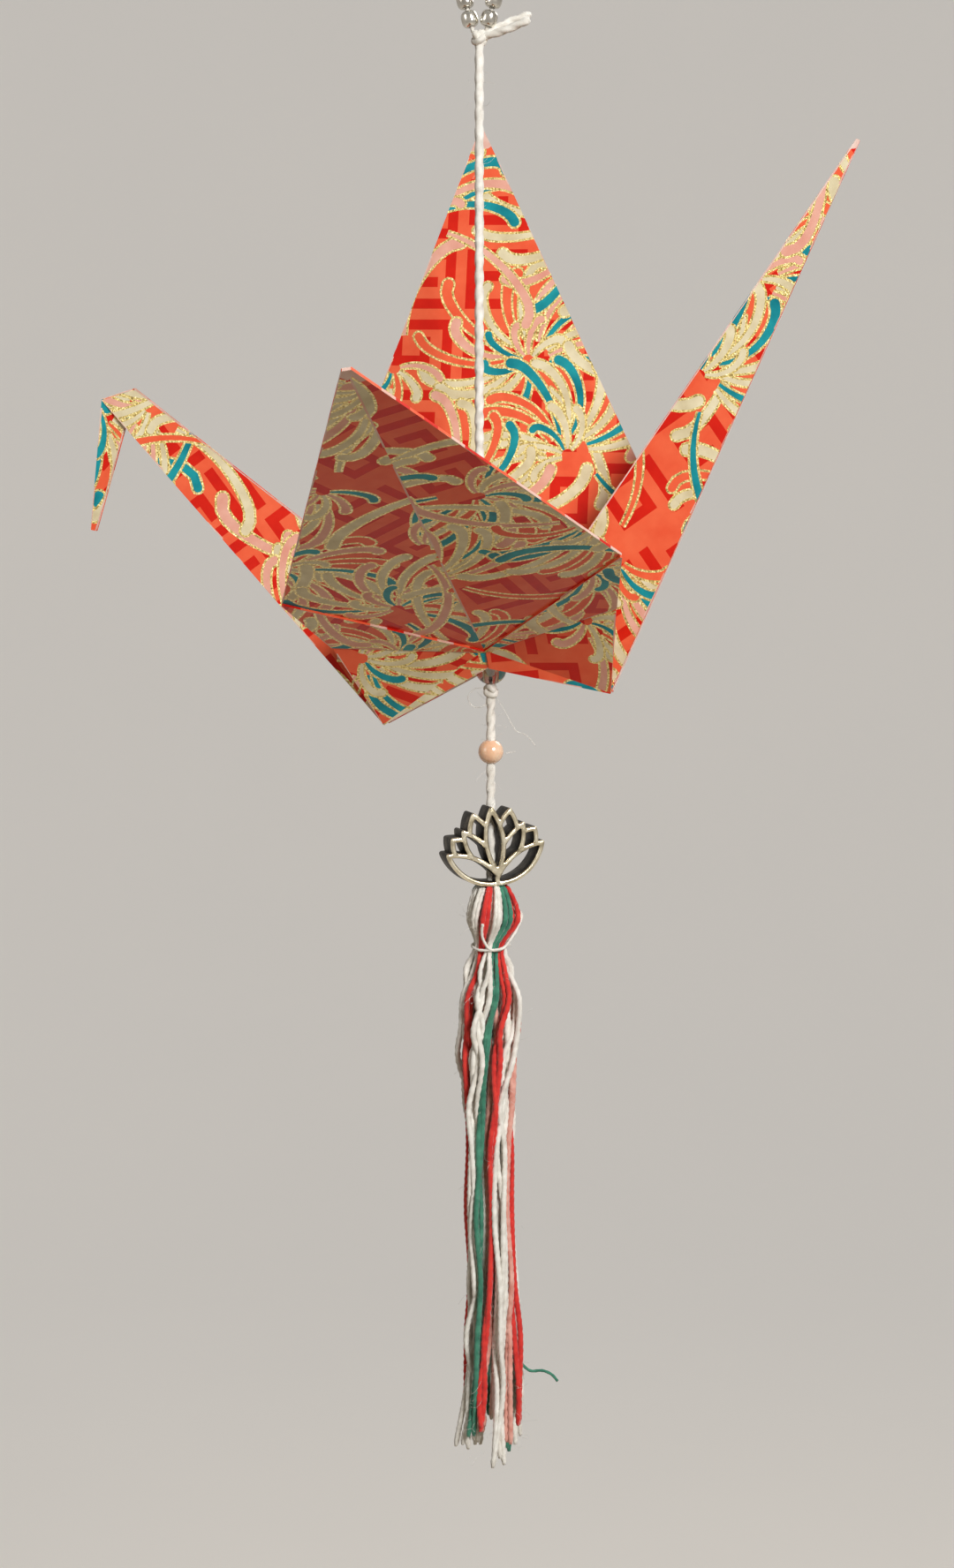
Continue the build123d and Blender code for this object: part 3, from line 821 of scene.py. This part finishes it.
def make_crane():
    near, far = crane_half(NEAR_WING), crane_half(FAR_WING)
    crown = crown_point(near, far)
    paper = PaperMesh()
    for half, wing in ((near, NEAR_WING), (far, FAR_WING)):
        for facet in wing_facets(half, wing["wear"]) + body_facets(half, crown) + limb_facets(half):
            paper.add_facet(facet)
    piece = new_piece("printed_crane", (paper.points, paper.faces), PAPER, paper.colours, smooth=False)
    join_same_colour(piece.data)
    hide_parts("paper_crane")


# Cord and knots


def nurbs_line(points, steps):
    """Points read from a smooth spline that the given points control."""
    data = bpy.data.curves.new("route", "CURVE")
    data.dimensions = "3D"
    data.resolution_u = steps
    spline = data.splines.new("NURBS")
    spline.points.add(len(points) - 1)
    for control, point in zip(spline.points, points):
        control.co = (*metres(point), 1.0)
    spline.order_u = 3
    spline.use_endpoint_u = True
    route = bpy.data.objects.new("route", data)
    mesh = bpy.data.meshes.new_from_object(route)
    line = [vertex.co / MM for vertex in mesh.vertices]
    bpy.data.objects.remove(route)
    bpy.data.meshes.remove(mesh)
    return line


CORD_PITCH = 4.4
CORD_STEPS = 70
# Control points this far from the bend and from the crane's edge keep the curve between them
BEND_APPROACH = 20.0
EDGE_APPROACH = 12 * CORD_RADIUS


def make_cord():
    low = (LOW_CORD_X, LOW_CORD_Y)
    route = (
        (0, 0, -TOP_KNOT_DROP),
        (0, 0, BEND_APPROACH - CORD_BEND_DROP),
        (0, 0, -CORD_BEND_DROP),
        (*low, -CRANE_DROP),
        (*low, -CRANE_DROP - EDGE_APPROACH),
        (*low, -CORD_END_DROP),
    )
    line = nurbs_line(route, CORD_STEPS)
    shape = twisted_tube(line, [CORD_RADIUS] * len(line), plies=2, pitch=CORD_PITCH, sides=16, groove=0.32)
    piece = new_piece("floss_cord", shape, [FLOSS["white"]])
    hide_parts("hanging_cord")


KNOT_STEPS = 90
KNOT_TILT = radians(64)
KNOT_WIDTH = 0.21
KNOT_DEPTH = 0.42
KNOT_THREAD = 0.46
TAIL_RISE = 20
TAIL_RADIUS = 0.52
# The top knot's cut ends: how far each leans from their middle in degrees, its length and its bow
TAILS = ((4.5, 7.0, 0.25), (-4.5, 6.7, -0.2))
# Each knot: its place, size and turn
KNOTS = {
    "top_knot": ((0, 0, -TOP_KNOT_DROP), 1.05, 0.3),
    "stop_knot": (low_cord(STOP_KNOT_DROP), 1.0, 1.4),
    "tassel_knot": (low_cord(CORD_END_DROP), 0.8, 0.0),
}


def knot_shape(centre, size, turn):
    """A pulled-tight overhand knot: a thread that follows a closed three-lobed path."""
    spin = Matrix.Rotation(turn, 3, "Z") @ Matrix.Rotation(KNOT_TILT, 3, "X")
    line = []
    for step in range(KNOT_STEPS + 1):
        t = FULL_TURN * step / KNOT_STEPS
        wide = 2 + cos(3 * t)
        x, y, z = wide * cos(2 * t), wide * sin(2 * t), sin(3 * t)
        line.append(Vector(centre) + spin @ Vector((x * KNOT_WIDTH, y * KNOT_WIDTH, z * KNOT_DEPTH)) * size)
    return twisted_tube(line, [KNOT_THREAD * size] * len(line), plies=2, pitch=2.2, sides=12, groove=0.16)


def tail_shape(spread, end, bow):
    """One cut end of the top knot."""
    rise, swing = radians(TAIL_RISE + spread), radians(2 * spread)
    level = cos(rise)
    direction = Vector((level * cos(swing), level * sin(swing), sin(rise)))
    start = Vector((0, 0, -TOP_KNOT_DROP))
    middle = start + direction * (end / 2) + Vector((0, 0, bow))
    line = smooth_line([start, middle, start + direction * end], 0.15)
    radii = [TAIL_RADIUS * min(1.0, 0.6 + (len(line) - 1 - index) / 8) for index in range(len(line))]
    return twisted_tube(line, radii, plies=2, pitch=3.8, sides=14, groove=0.28)


def make_knots():
    for node, knot in KNOTS.items():
        parts = [knot_shape(*knot)]
        if node == "top_knot":
            parts += [tail_shape(*tail) for tail in TAILS]
        piece = new_piece("floss_" + node, joined(parts), [FLOSS["white"]])
        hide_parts(node)


# Beads

BEAD_BORE = 0.68
ROUND_BEADS = (
    ("glass_bead", GLASS_BEAD_DROP, 2.0, clear_glass, "clear_glass"),
    ("coral_bead", CORAL_BEAD_DROP, 1.6, coral, "coral"),
)
LOOP_RADIUS = 3.3
LOOP_SLANT = radians(15.0)
LOOP_FOOT_X = 1.2
LOOP_STEPS = 160
LOOP_THREAD_RADIUS = 0.25
LOOP_THREAD_TAIL = 1.6
SEED_RADIUS = 1.05
SEED_HALF = 0.95
SEED_BORE = 0.45
SEED_SQUARENESS = 2.6
SEED_COUNT = 13
LOOP_CENTRE_Z = SEED_RADIUS - LOOP_RADIUS
LOOP_FOOT_Z = LOOP_CENTRE_Z - (LOOP_RADIUS - LOOP_FOOT_X * cos(LOOP_SLANT)) / sin(LOOP_SLANT)
TANGENT_X = LOOP_RADIUS * cos(LOOP_SLANT)
TANGENT_Z = LOOP_CENTRE_Z - LOOP_RADIUS * sin(LOOP_SLANT)
STRAND_LENGTH = hypot(TANGENT_X - LOOP_FOOT_X, TANGENT_Z - LOOP_FOOT_Z)
ARC_LENGTH = LOOP_RADIUS * (pi + 2 * LOOP_SLANT)


def make_round_beads():
    for node, drop, radius, material, slot in ROUND_BEADS:
        place = Matrix.Translation(low_cord(drop))
        shape = turned(ball_profile(radius, BEAD_BORE), place, sides=56)
        piece = new_piece("turned_" + node, shape, [material])
        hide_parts(node)


def loop_place(distance):
    """Place and direction on the bead loop, this far along it from the left foot."""
    if distance <= STRAND_LENGTH:
        foot, top = Vector((-LOOP_FOOT_X, 0, LOOP_FOOT_Z)), Vector((-TANGENT_X, 0, TANGENT_Z))
        direction = Vector((-sin(LOOP_SLANT), 0, cos(LOOP_SLANT)))
        return foot.lerp(top, distance / STRAND_LENGTH), direction
    if distance >= STRAND_LENGTH + ARC_LENGTH:
        point, direction = loop_place(2 * STRAND_LENGTH + ARC_LENGTH - distance)
        return Vector((-point.x, 0, point.z)), Vector((-direction.x, 0, direction.z))
    turn = (distance - STRAND_LENGTH) / LOOP_RADIUS - LOOP_SLANT
    point = Vector((-LOOP_RADIUS * cos(turn), 0, LOOP_CENTRE_Z + LOOP_RADIUS * sin(turn)))
    return point, Vector((sin(turn), 0, cos(turn)))


def make_bead_loop():
    whole = 2 * STRAND_LENGTH + ARC_LENGTH
    profile = bead_profile(SEED_RADIUS, SEED_HALF, SEED_BORE, SEED_SQUARENESS, steps=14)
    beads = []
    for index in range(SEED_COUNT):
        point, direction = loop_place(whole * index / (SEED_COUNT - 1))
        place = Matrix.Translation(point) @ direction.to_track_quat("Z", "Y").to_matrix().to_4x4()
        beads.append(turned(profile, place, sides=28))
    piece = new_piece("silver_seed_beads", joined(beads), [silver_bright])
    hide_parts("hanger_beads")
    foot, direction = loop_place(0)
    start = foot - direction * LOOP_THREAD_TAIL
    line = [start, *(loop_place(whole * step / LOOP_STEPS)[0] for step in range(LOOP_STEPS + 1))]
    line.append(Vector((-start.x, 0, start.z)))
    shape = twisted_tube(line, [LOOP_THREAD_RADIUS] * len(line), plies=2, pitch=1.6, sides=8)
    piece = new_piece("loop_thread", shape, [FLOSS["white"]])
    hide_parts("hanger_thread")


# Lotus bead

LOTUS_DEPTH = 4.0
LOTUS_BAND = 0.64
LOTUS_YAW = radians(24.0)
LOTUS_ROLL = radians(6.5)
LOTUS_SIDE = 0.4
LOTUS_STEM = 0.18
# Side petals, back to front: height of the foot, then the tip and points on the upper and lower edges
LOTUS_PETALS = (
    (-0.3, (5.4, 4.3), (2.0, 3.3), (4.2, 0.5)),
    (-0.3, (2.4, 7.05), (0.1, 3.9), (2.9, 2.9)),
    (-0.6, (3.9, 5.1), (1.2, 2.95), (3.0, 1.55)),
    (-1.95, (6.2, 2.4), (3.2, 1.75), (3.95, -0.85)),
)
LOTUS_CENTRE_TIP = 7.5
LOTUS_CENTRE_FOOT = -0.5
LOTUS_CENTRE_HALF = 1.15
LOTUS_SHARP = radians(50)
LOTUS_SHARP_TIP = 0.6
LOTUS_KEPT_SHARE = 0.98
# Steps of the rounded front edge: how far each is set in, and its drop below the front
LOTUS_ROUNDING = ((0.22, 0.0), (0.12, 0.035), (0.05, 0.11), (0.0, 0.26))


def arc_points(start, through, end, steps=24):
    """Points of the arc through three points, without its last one."""
    start, through, end = Vector(start), Vector(through), Vector(end)
    a, b = through - start, end - start
    cross = 2 * (a.x * b.y - a.y * b.x)
    centre = start + Vector(
        (
            (b.y * a.length_squared - a.y * b.length_squared) / cross,
            (a.x * b.length_squared - b.x * a.length_squared) / cross,
        )
    )
    first, middle, last = [atan2(p.y - centre.y, p.x - centre.x) for p in (start, through, end)]
    sweep = (last - first) % FULL_TURN
    if (middle - first) % FULL_TURN > sweep:
        sweep -= FULL_TURN
    radius = (start - centre).length
    angles = [first + sweep * step / steps for step in range(steps)]
    return [centre + toward(angle) * radius for angle in angles]


def petal_loop(foot, tip, upper, lower, sign):
    """The middle line of one side petal, as a closed loop that turns anticlockwise."""
    stem = -sign * LOTUS_STEM
    point = (sign * tip[0], tip[1])
    loop = arc_points((stem, foot), (sign * lower[0], lower[1]), point)
    loop += arc_points(point, (sign * upper[0], upper[1]), (stem, foot + LOTUS_BAND))
    loop.append(Vector((stem, foot + LOTUS_BAND)))
    return loop if sign > 0 else loop[::-1]


def centre_loop():
    foot, tip = (0, LOTUS_CENTRE_FOOT), (0, LOTUS_CENTRE_TIP)
    middle = (LOTUS_CENTRE_FOOT + LOTUS_CENTRE_TIP) / 2
    rising = arc_points(foot, (LOTUS_CENTRE_HALF, middle), tip)
    return rising + arc_points(tip, (-LOTUS_CENTRE_HALF, middle), foot)


def distance_to_loop(point, loop):
    """How far a point is from the nearest edge of a loop."""
    nearest = []
    for start, end in edges_of(loop):
        along = end - start
        share = min(max((point - start).dot(along) / along.length_squared, 0), 1)
        nearest.append((start + along * share - point).length)
    return min(nearest)


def moved_loop(loop, amount):
    """The loop moved outwards, or inwards for a negative amount, with sharp tips rounded off outside."""
    moved = []
    for index, point in enumerate(loop):
        arriving = (point - loop[index - 1]).normalized()
        leaving = (loop[(index + 1) % len(loop)] - point).normalized()
        first = Vector((arriving.y, -arriving.x))
        second = Vector((leaving.y, -leaving.x))
        if amount > 0 and arriving.angle(leaving) > LOTUS_SHARP_TIP:
            for share in (0.0, 0.25, 0.5, 0.75, 1.0):
                moved.append(point + first.slerp(second, share) * amount)
        else:
            moved.append(point + (first + second) * (amount / (1 + first.dot(second))))
    return [point for point in moved if distance_to_loop(point, loop) > LOTUS_KEPT_SHARE * abs(amount)]


def lotus_front():
    """Points and triangles of the bead's flat front: each petal covers those behind it and opens a window."""
    loops = [petal_loop(*petal, sign) for petal in LOTUS_PETALS for sign in (-1, 1)]
    loops.append(centre_loop())
    points, faces = [], []
    for loop in loops:
        for amount in (LOTUS_BAND / 2, -LOTUS_BAND / 2):
            outline = moved_loop(loop, amount)
            faces.append(list(range(len(points), len(points) + len(outline))))
            points.extend(outline)
    found = delaunay_2d_cdt(points, [], faces, 1, 1e-5, True)
    covered = [(tuple(face), max(sources)) for face, sources in zip(found[2], found[5]) if sources]
    solid = [face for face, topmost in covered if topmost % 2 == 0]
    return found[0], solid


def boundary_edges(triangles):
    """Edges, in order, that only one triangle uses."""
    edges = set()
    for triangle in triangles:
        for start, end in edges_of(triangle):
            if (end, start) in edges:
                edges.remove((end, start))
            else:
                edges.add((start, end))
    return sorted(edges)


def make_lotus():
    flat, triangles = only_used(*lotus_front())
    rim = boundary_edges(triangles)
    inward = [Vector((0, 0)) for _ in flat]
    for start, end in rim:
        along = (flat[end] - flat[start]).normalized()
        for corner in (start, end):
            inward[corner] += left_of(along)
    inward = [direction.normalized() if direction.length > 1e-6 else direction for direction in inward]
    side = Vector((cos(LOTUS_YAW), sin(LOTUS_YAW), 0))
    front = Vector((sin(LOTUS_YAW), -cos(LOTUS_YAW), 0))
    centre = low_cord(LOTUS_DROP) + side * LOTUS_SIDE
    place = Matrix.Translation(centre) @ Matrix((side, (0, 0, 1), front)).transposed().to_4x4()
    place = place @ Matrix.Rotation(LOTUS_ROLL, 4, "Z")
    levels = [(inset, LOTUS_DEPTH / 2 - drop) for inset, drop in LOTUS_ROUNDING]
    levels += [(inset, -height) for inset, height in reversed(levels)]
    points, faces, colours = [], [], []
    for inset, height in levels:
        for corner, direction in zip(flat, inward):
            spot = corner + direction * inset
            points.append(place @ Vector((spot.x, spot.y, height)))
    count = len(flat)
    last = (len(levels) - 1) * count
    for triangle in triangles:
        faces.append(triangle)
        faces.append(tuple(last + corner for corner in reversed(triangle)))
        colours += [0, 0]
    for level in range(len(levels) - 1):
        low, high = level * count, (level + 1) * count
        black = level == len(LOTUS_ROUNDING) - 1
        for start, end in rim:
            faces.append((low + end, low + start, high + start, high + end))
            colours.append(1 if black else 0)
    piece = new_piece("openwork_lotus", (points, faces), [silver_warm, silver_black], colours)
    piece.data.set_sharp_from_angle(angle=LOTUS_SHARP)
    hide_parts("lotus_bead")


# Tassel

OUTER_THREADS = 12
INNER_THREADS = 6
THREAD_TWIST = radians(-15.0)
THREAD_END_STEP = 0.9
# Drop below the tassel's top, radii of the inner and outer rings, shift to the right, and thread radius
TASSEL_STATIONS = (
    (0.0, 1.10, 1.86, 0.1, 0.46),
    (3.7, 1.80, 2.90, 0.45, 0.60),
    (7.2, 0.88, 1.70, 0.0, 0.43),
    (13.9, 1.60, 2.98, 0.0, 0.60),
    (22.0, 1.70, 3.08, -0.1, 0.62),
    (33.5, 1.50, 2.66, -0.1, 0.58),
    (50.8, 1.62, 2.84, 0.3, 0.60),
    (72.0, 2.10, 3.70, 0.2, 0.60),
)
THREAD_COLOURS = {
    "white": (1, 4, 7, 8, 10, 11, 12, 14, 16),
    "red": (0, 3, 6),
    "green": (2, 9, 15, 17),
    "salmon": (5, 13),
}
THREAD_FOLD_SHARE = 0.5
THREAD_FOLD_RISE = 0.2
# The finer strands that make up each thread
STRANDS = {"white": 4, "red": 2, "green": 2, "salmon": 2}
STRAND_DROPS = (0.0, 3.7, 7.2, 10.5, 13.9, 18.0, 22.0, 28.0, 33.5, 42.0, 50.8, 58.0, 65.0, 72.0)
STRAND_RADIUS = 0.66
STRAND_SPREAD = 0.5
STRAND_SPACING = 0.4
STRAND_TURNS = 0.9
STRAND_END_CUT = 1.4
STRAND_BLUNT = 0.55
STRAND_PITCH = (1.8, 2.2)
NECK_WANDER = 0.08
SKIRT_WANDER = {"white": 0.85, "red": 0.4, "green": 0.4, "salmon": 0.5}
NECK_END = 9.0


def station_run(drop):
    """The run of the tassel's stations that a drop lies in, and the share of that run."""
    for run, (above, below) in enumerate(zip(TASSEL_STATIONS, TASSEL_STATIONS[1:])):
        if drop <= below[0]:
            return run, max(0.0, (drop - above[0]) / (below[0] - above[0]))
    return len(TASSEL_STATIONS) - 2, 1.0


def between_stations(drop, column):
    """A value of the tassel's stations at any drop below its top."""
    run, share = station_run(drop)
    above, below = TASSEL_STATIONS[run][column], TASSEL_STATIONS[run + 1][column]
    return above + (below - above) * share


def strand_shape(index, phase, slack):
    """One strand of a tassel thread, from under the lotus bead to its cut end, with some slack in it."""
    inner = index >= OUTER_THREADS
    count = INNER_THREADS if inner else OUTER_THREADS
    start = -pi / 2 + FULL_TURN * (index - (OUTER_THREADS if inner else 0)) / count
    start += pi / 12 if inner else 0
    top_ring = THREAD_FOLD_SHARE * TASSEL_STATIONS[0][1 if inner else 2]
    top = low_cord(TASSEL_DROP - THREAD_FOLD_RISE)
    points = [top + Vector((cos(start), sin(start), 0)) * top_ring]
    turns = RANDOM.uniform(-STRAND_TURNS, STRAND_TURNS)
    for drop in STRAND_DROPS:
        run, share = station_run(drop)
        ring = between_stations(drop, 1 if inner else 2)
        angle = start + THREAD_TWIST * (run + share)
        x = LOW_CORD_X + between_stations(drop, 3) + ring * cos(angle)
        y = LOW_CORD_Y + ring * sin(angle)
        aside = phase + FULL_TURN * turns * drop / STRAND_DROPS[-1]
        spread = STRAND_SPREAD * between_stations(drop, 4)
        wander = NECK_WANDER if drop < NECK_END else slack
        x += spread * cos(aside) + RANDOM.uniform(-wander, wander)
        y += spread * sin(aside) + RANDOM.uniform(-wander, wander)
        end_step = THREAD_END_STEP * ((5 * index) % 7 - 3) if drop == STRAND_DROPS[-1] else 0
        points.append(Vector((x, y, -TASSEL_DROP - drop - end_step)))
    points[-1].z += RANDOM.uniform(0.0, STRAND_END_CUT)
    line = smooth_line(points, STRAND_SPACING)
    count = len(line) - 1
    radii = []
    for step, point in enumerate(line):
        rounding = min(1.0, STRAND_BLUNT + step / 5, STRAND_BLUNT + (count - step) / 4)
        radii.append(STRAND_RADIUS * between_stations(-TASSEL_DROP - point.z, 4) * rounding)
    pitch = RANDOM.uniform(*STRAND_PITCH)
    return twisted_tube(line, radii, plies=2, pitch=pitch, sides=10, groove=0.3, turn=RANDOM.uniform(0, 6))


def make_tassel():
    for name, indices in THREAD_COLOURS.items():
        strands = []
        for index in indices:
            first = any_angle()
            for strand in range(STRANDS[name]):
                phase = first + FULL_TURN * strand / STRANDS[name]
                strands.append(strand_shape(index, phase, SKIRT_WANDER[name]))
        piece = new_piece("tassel_" + name, joined(strands), [FLOSS[name]])
        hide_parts("tassel_threads_" + name)


# The tie, as (angle in degrees, drop): a tight turn round the neck and a slack loop on its front and right
TIGHT_TURN = ((0, 7.3), (60, 7.0), (120, 7.1), (180, 7.4), (240, 7.7), (300, 7.6), (360, 7.3))
SLACK_LOOP = (
    (-106, 4.2), (-109, 5.2), (-105, 6.4), (-82, 7.6), (-42, 7.5),
    (-12, 6.4), (6, 4.8), (24, 3.6), (45, 2.8),
)
TIE_RADIUS = 0.2


def make_tie():
    turns = []
    for route in (TIGHT_TURN, SLACK_LOOP):
        points = []
        for degrees, drop in route:
            angle = radians(degrees)
            out = between_stations(drop, 2) + between_stations(drop, 4) + 0.9 * TIE_RADIUS
            x = LOW_CORD_X + between_stations(drop, 3) + out * cos(angle)
            points.append(Vector((x, LOW_CORD_Y + out * sin(angle), -TASSEL_DROP - drop)))
        line = smooth_line(points, 0.15)
        turns.append(twisted_tube(line, [TIE_RADIUS] * len(line), plies=2, pitch=1.3, sides=8))
    piece = new_piece("tassel_binding", joined(turns), [FLOSS["white"]])
    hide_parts("tassel_tie")


# Loose fibres

FIBRE_RADIUS = 0.015
VIEW_RIGHT = Vector((cos(VIEW_AZIMUTH), sin(VIEW_AZIMUTH), 0))
# Single strays, as steps to the right of the cord and drops below the model's origin: radius, then points
WHITE_STRAYS = (
    (0.05, ((-0.5, 92.9), (-2.0, 93.0), (-2.9, 94.1), (-2.2, 95.3), (-0.9, 95.2), (-0.4, 94.4))),
    (0.04, ((0.4, 93.8), (1.5, 95.4), (3.1, 98.2), (4.5, 98.9), (5.7, 100.3))),
    (0.05, ((-0.4, 114.6), (-1.0, 113.7), (-1.2, 112.6), (-0.8, 112.2), (-0.4, 113.0))),
    (0.04, ((1.9, 101.2), (2.4, 101.1), (3.1, 101.0))),
)
GREEN_ROUTE = (
    (3.2, 176.5), (3.5, 178.6), (3.9, 180.3), (5.1, 181.5),
    (6.7, 181.5), (7.9, 182.0), (8.7, 182.9),
)
GREEN_STRAYS = ((0.22, GREEN_ROUTE),)
CORD_HAIRS = 70
CORD_HAIR_LENGTH = (0.5, 1.8)
TASSEL_HAIRS = 200
TASSEL_HAIR_LENGTH = (0.5, 2.2)
TASSEL_HAIR_DROPS = ((0, 16), (0, 72), (62, 74))
HAIR_ROOT = 0.2
SHOWN_CORD_END = 34


def fibre(root, outward, length):
    """A fine hair that leaves a thread and bends."""
    bend = Vector([RANDOM.uniform(-1, 1) for _ in range(3)]) * length
    middle = root + outward * (0.5 * length) + bend * 0.12
    points = [root, middle, root + outward * (0.7 * length) + bend * 0.5]
    line = smooth_line(points, length / 5)
    return twisted_tube(line, [FIBRE_RADIUS] * len(line), plies=1, pitch=9.0, sides=3, groove=0.0)


def cord_fibres(count):
    """Hairs along the straight parts of the cord."""
    hairs = []
    for _ in range(count):
        above = RANDOM.uniform(TOP_KNOT_DROP + 2, SHOWN_CORD_END)
        below = RANDOM.uniform(STOP_KNOT_DROP, LOTUS_DROP - 7)
        drop = RANDOM.choice((above, below))
        centre = Vector((0, 0, -drop)) if drop < CORD_BEND_DROP else low_cord(drop)
        angle = any_angle()
        outward = Vector((cos(angle), sin(angle), RANDOM.uniform(-0.8, 0.8)))
        root = centre + outward * (0.8 * CORD_RADIUS)
        hairs.append(fibre(root, outward, RANDOM.uniform(*CORD_HAIR_LENGTH)))
    return hairs


def tassel_fibres(count):
    """Hairs on the outside of the tassel, with more of them at its neck and its end."""
    hairs = []
    for _ in range(count):
        drop = RANDOM.choice([RANDOM.uniform(*drops) for drops in TASSEL_HAIR_DROPS])
        angle = any_angle()
        out = between_stations(drop, 2) + HAIR_ROOT
        outward = Vector((cos(angle), sin(angle), RANDOM.uniform(-0.9, 0.5)))
        x = LOW_CORD_X + between_stations(drop, 3) + out * outward.x
        root = Vector((x, LOW_CORD_Y + out * outward.y, -TASSEL_DROP - drop))
        hairs.append(fibre(root, outward, RANDOM.uniform(*TASSEL_HAIR_LENGTH)))
    return hairs


def strays(routes):
    lines = []
    for radius, route in routes:
        points = [low_cord(drop) + VIEW_RIGHT * right for right, drop in route]
        line = smooth_line(points, 0.25)
        lines.append(twisted_tube(line, [radius] * len(line), plies=2, pitch=1.6, sides=6, groove=0.25))
    return lines


def make_fibres():
    hairs = cord_fibres(CORD_HAIRS) + tassel_fibres(TASSEL_HAIRS)
    new_piece("loose_fibres", joined(hairs + strays(WHITE_STRAYS)), [FLOSS["white"]])
    new_piece("loose_green_thread", joined(strays(GREEN_STRAYS)), [FLOSS["green"]])


# Stage


FLOOR_Z = -0.45
FLOOR_RADIUS = 0.9
SWEEP_RADIUS = 0.5
SWEEP_STEPS = 12
WALL_TOP = 1.3
STAGE_SIDES = 96
LAMP_AIM = (0, 0, -0.09)
# Each lamp: its place, size and power in watts
LAMPS = {
    "key": ((0.31, -0.40, 0.15), 0.22, 3.4),
    "fill": ((-0.40, -0.34, 0.12), 0.30, 0.45),
    "rim": ((0.25, 0.40, 0.25), 0.30, 0.8),
}


def seen_directly(tree, strength):
    """The strength for rays that show the background itself, and nothing for rays that light the object."""
    rays = tree.nodes.new("ShaderNodeLightPath")
    seen = rays.outputs["Is Camera Ray"]
    for kind in ("Is Glossy Ray", "Is Transmission Ray"):
        either = tree.nodes.new("ShaderNodeMath")
        either.operation = "MAXIMUM"
        tree.links.new(seen, either.inputs[0])
        tree.links.new(rays.outputs[kind], either.inputs[1])
        seen = either.outputs[0]
    scaled = tree.nodes.new("ShaderNodeMath")
    scaled.operation = "MULTIPLY"
    scaled.inputs[1].default_value = strength
    tree.links.new(seen, scaled.inputs[0])
    return scaled.outputs[0]


def make_stage():
    """A round floor that sweeps up into a wall on all sides."""
    profile = [(0.0, FLOOR_Z), (FLOOR_RADIUS, FLOOR_Z)]
    for step in range(1, SWEEP_STEPS + 1):
        angle = pi / 2 * step / SWEEP_STEPS
        reach = FLOOR_RADIUS + SWEEP_RADIUS * sin(angle)
        profile.append((reach, FLOOR_Z + SWEEP_RADIUS * (1 - cos(angle))))
    profile.append((FLOOR_RADIUS + SWEEP_RADIUS, WALL_TOP))
    points, faces = [], []
    sides, count = STAGE_SIDES, len(profile)
    for side in range(sides):
        angle = FULL_TURN * side / sides
        points.extend((reach * cos(angle), reach * sin(angle), height) for reach, height in profile)
        for step in range(count - 1):
            low, high = side * count + step, (side + 1) % sides * count + step
            faces.append((low, high, high + 1, low + 1))
    mesh = bpy.data.meshes.new("backdrop")
    mesh.from_pydata(points, [], faces)
    mesh.polygons.foreach_set("use_smooth", [True] * len(faces))
    material = new_material("backdrop_card", Roughness=0.9, Emission_Color=BACKGROUND)
    mottle(material, ((194, 180, 158), (198, 184, 162)), per_mm=0.01)
    glow = seen_directly(material.node_tree, BACKGROUND_GLOW)
    join(material, glow, shader_of(material).inputs["Emission Strength"])
    mesh.materials.append(material)
    backdrop = bpy.data.objects.new("backdrop", mesh)
    bpy.context.scene.collection.objects.link(backdrop)


def add_lamp(name, place, size, watts):
    data = bpy.data.lights.new(name, "AREA")
    data.shape = "DISK"
    data.size = size
    data.energy = watts
    lamp = bpy.data.objects.new(name, data)
    lamp.location = place
    lamp.rotation_euler = (Vector(LAMP_AIM) - Vector(place)).to_track_quat("-Z", "Y").to_euler()
    bpy.context.scene.collection.objects.link(lamp)


def make_light():
    for name, lamp in LAMPS.items():
        add_lamp(name, *lamp)
    world = bpy.data.worlds.new("studio")
    world.use_nodes = True
    tree = world.node_tree
    background = tree.nodes["Background"]
    background.inputs["Color"].default_value = BACKGROUND
    lit = tree.nodes.new("ShaderNodeMath")
    lit.operation = "ADD"
    lit.inputs[1].default_value = ROOM_LIGHT
    tree.links.new(seen_directly(tree, BACKGROUND_GLOW), lit.inputs[0])
    tree.links.new(lit.outputs[0], background.inputs["Strength"])
    bpy.context.scene.world = world


def make_camera():
    sine, cosine = sin(VIEW_AZIMUTH), cos(VIEW_AZIMUTH)
    high, level = sin(VIEW_ELEVATION), cos(VIEW_ELEVATION)
    back = Vector((sine * level, -cosine * level, high))
    right = Vector((cosine, sine, 0))
    up = Vector((-sine * high, cosine * high, level))
    aim = Vector((CRANE_SHIFT_X, 0, -CRANE_DROP)) + right * VIEW_AIM_RIGHT + up * VIEW_AIM_UP
    data = bpy.data.cameras.new("camera")
    data.lens = VIEW_LENS
    data.sensor_width = 36.0
    data.clip_start = 0.01
    data.clip_end = 10.0
    camera = bpy.data.objects.new("camera", data)
    camera.location = metres(aim + back * VIEW_DISTANCE)
    camera.rotation_euler = (-back).to_track_quat("-Z", "Y").to_euler()
    bpy.context.scene.collection.objects.link(camera)
    bpy.context.scene.camera = camera


make_camera()
make_cord()
make_crane()
make_knots()
make_round_beads()
make_bead_loop()
make_lotus()
make_tassel()
make_tie()
make_fibres()
make_stage()
make_light()
bpy.context.scene.view_settings.view_transform = "Standard"
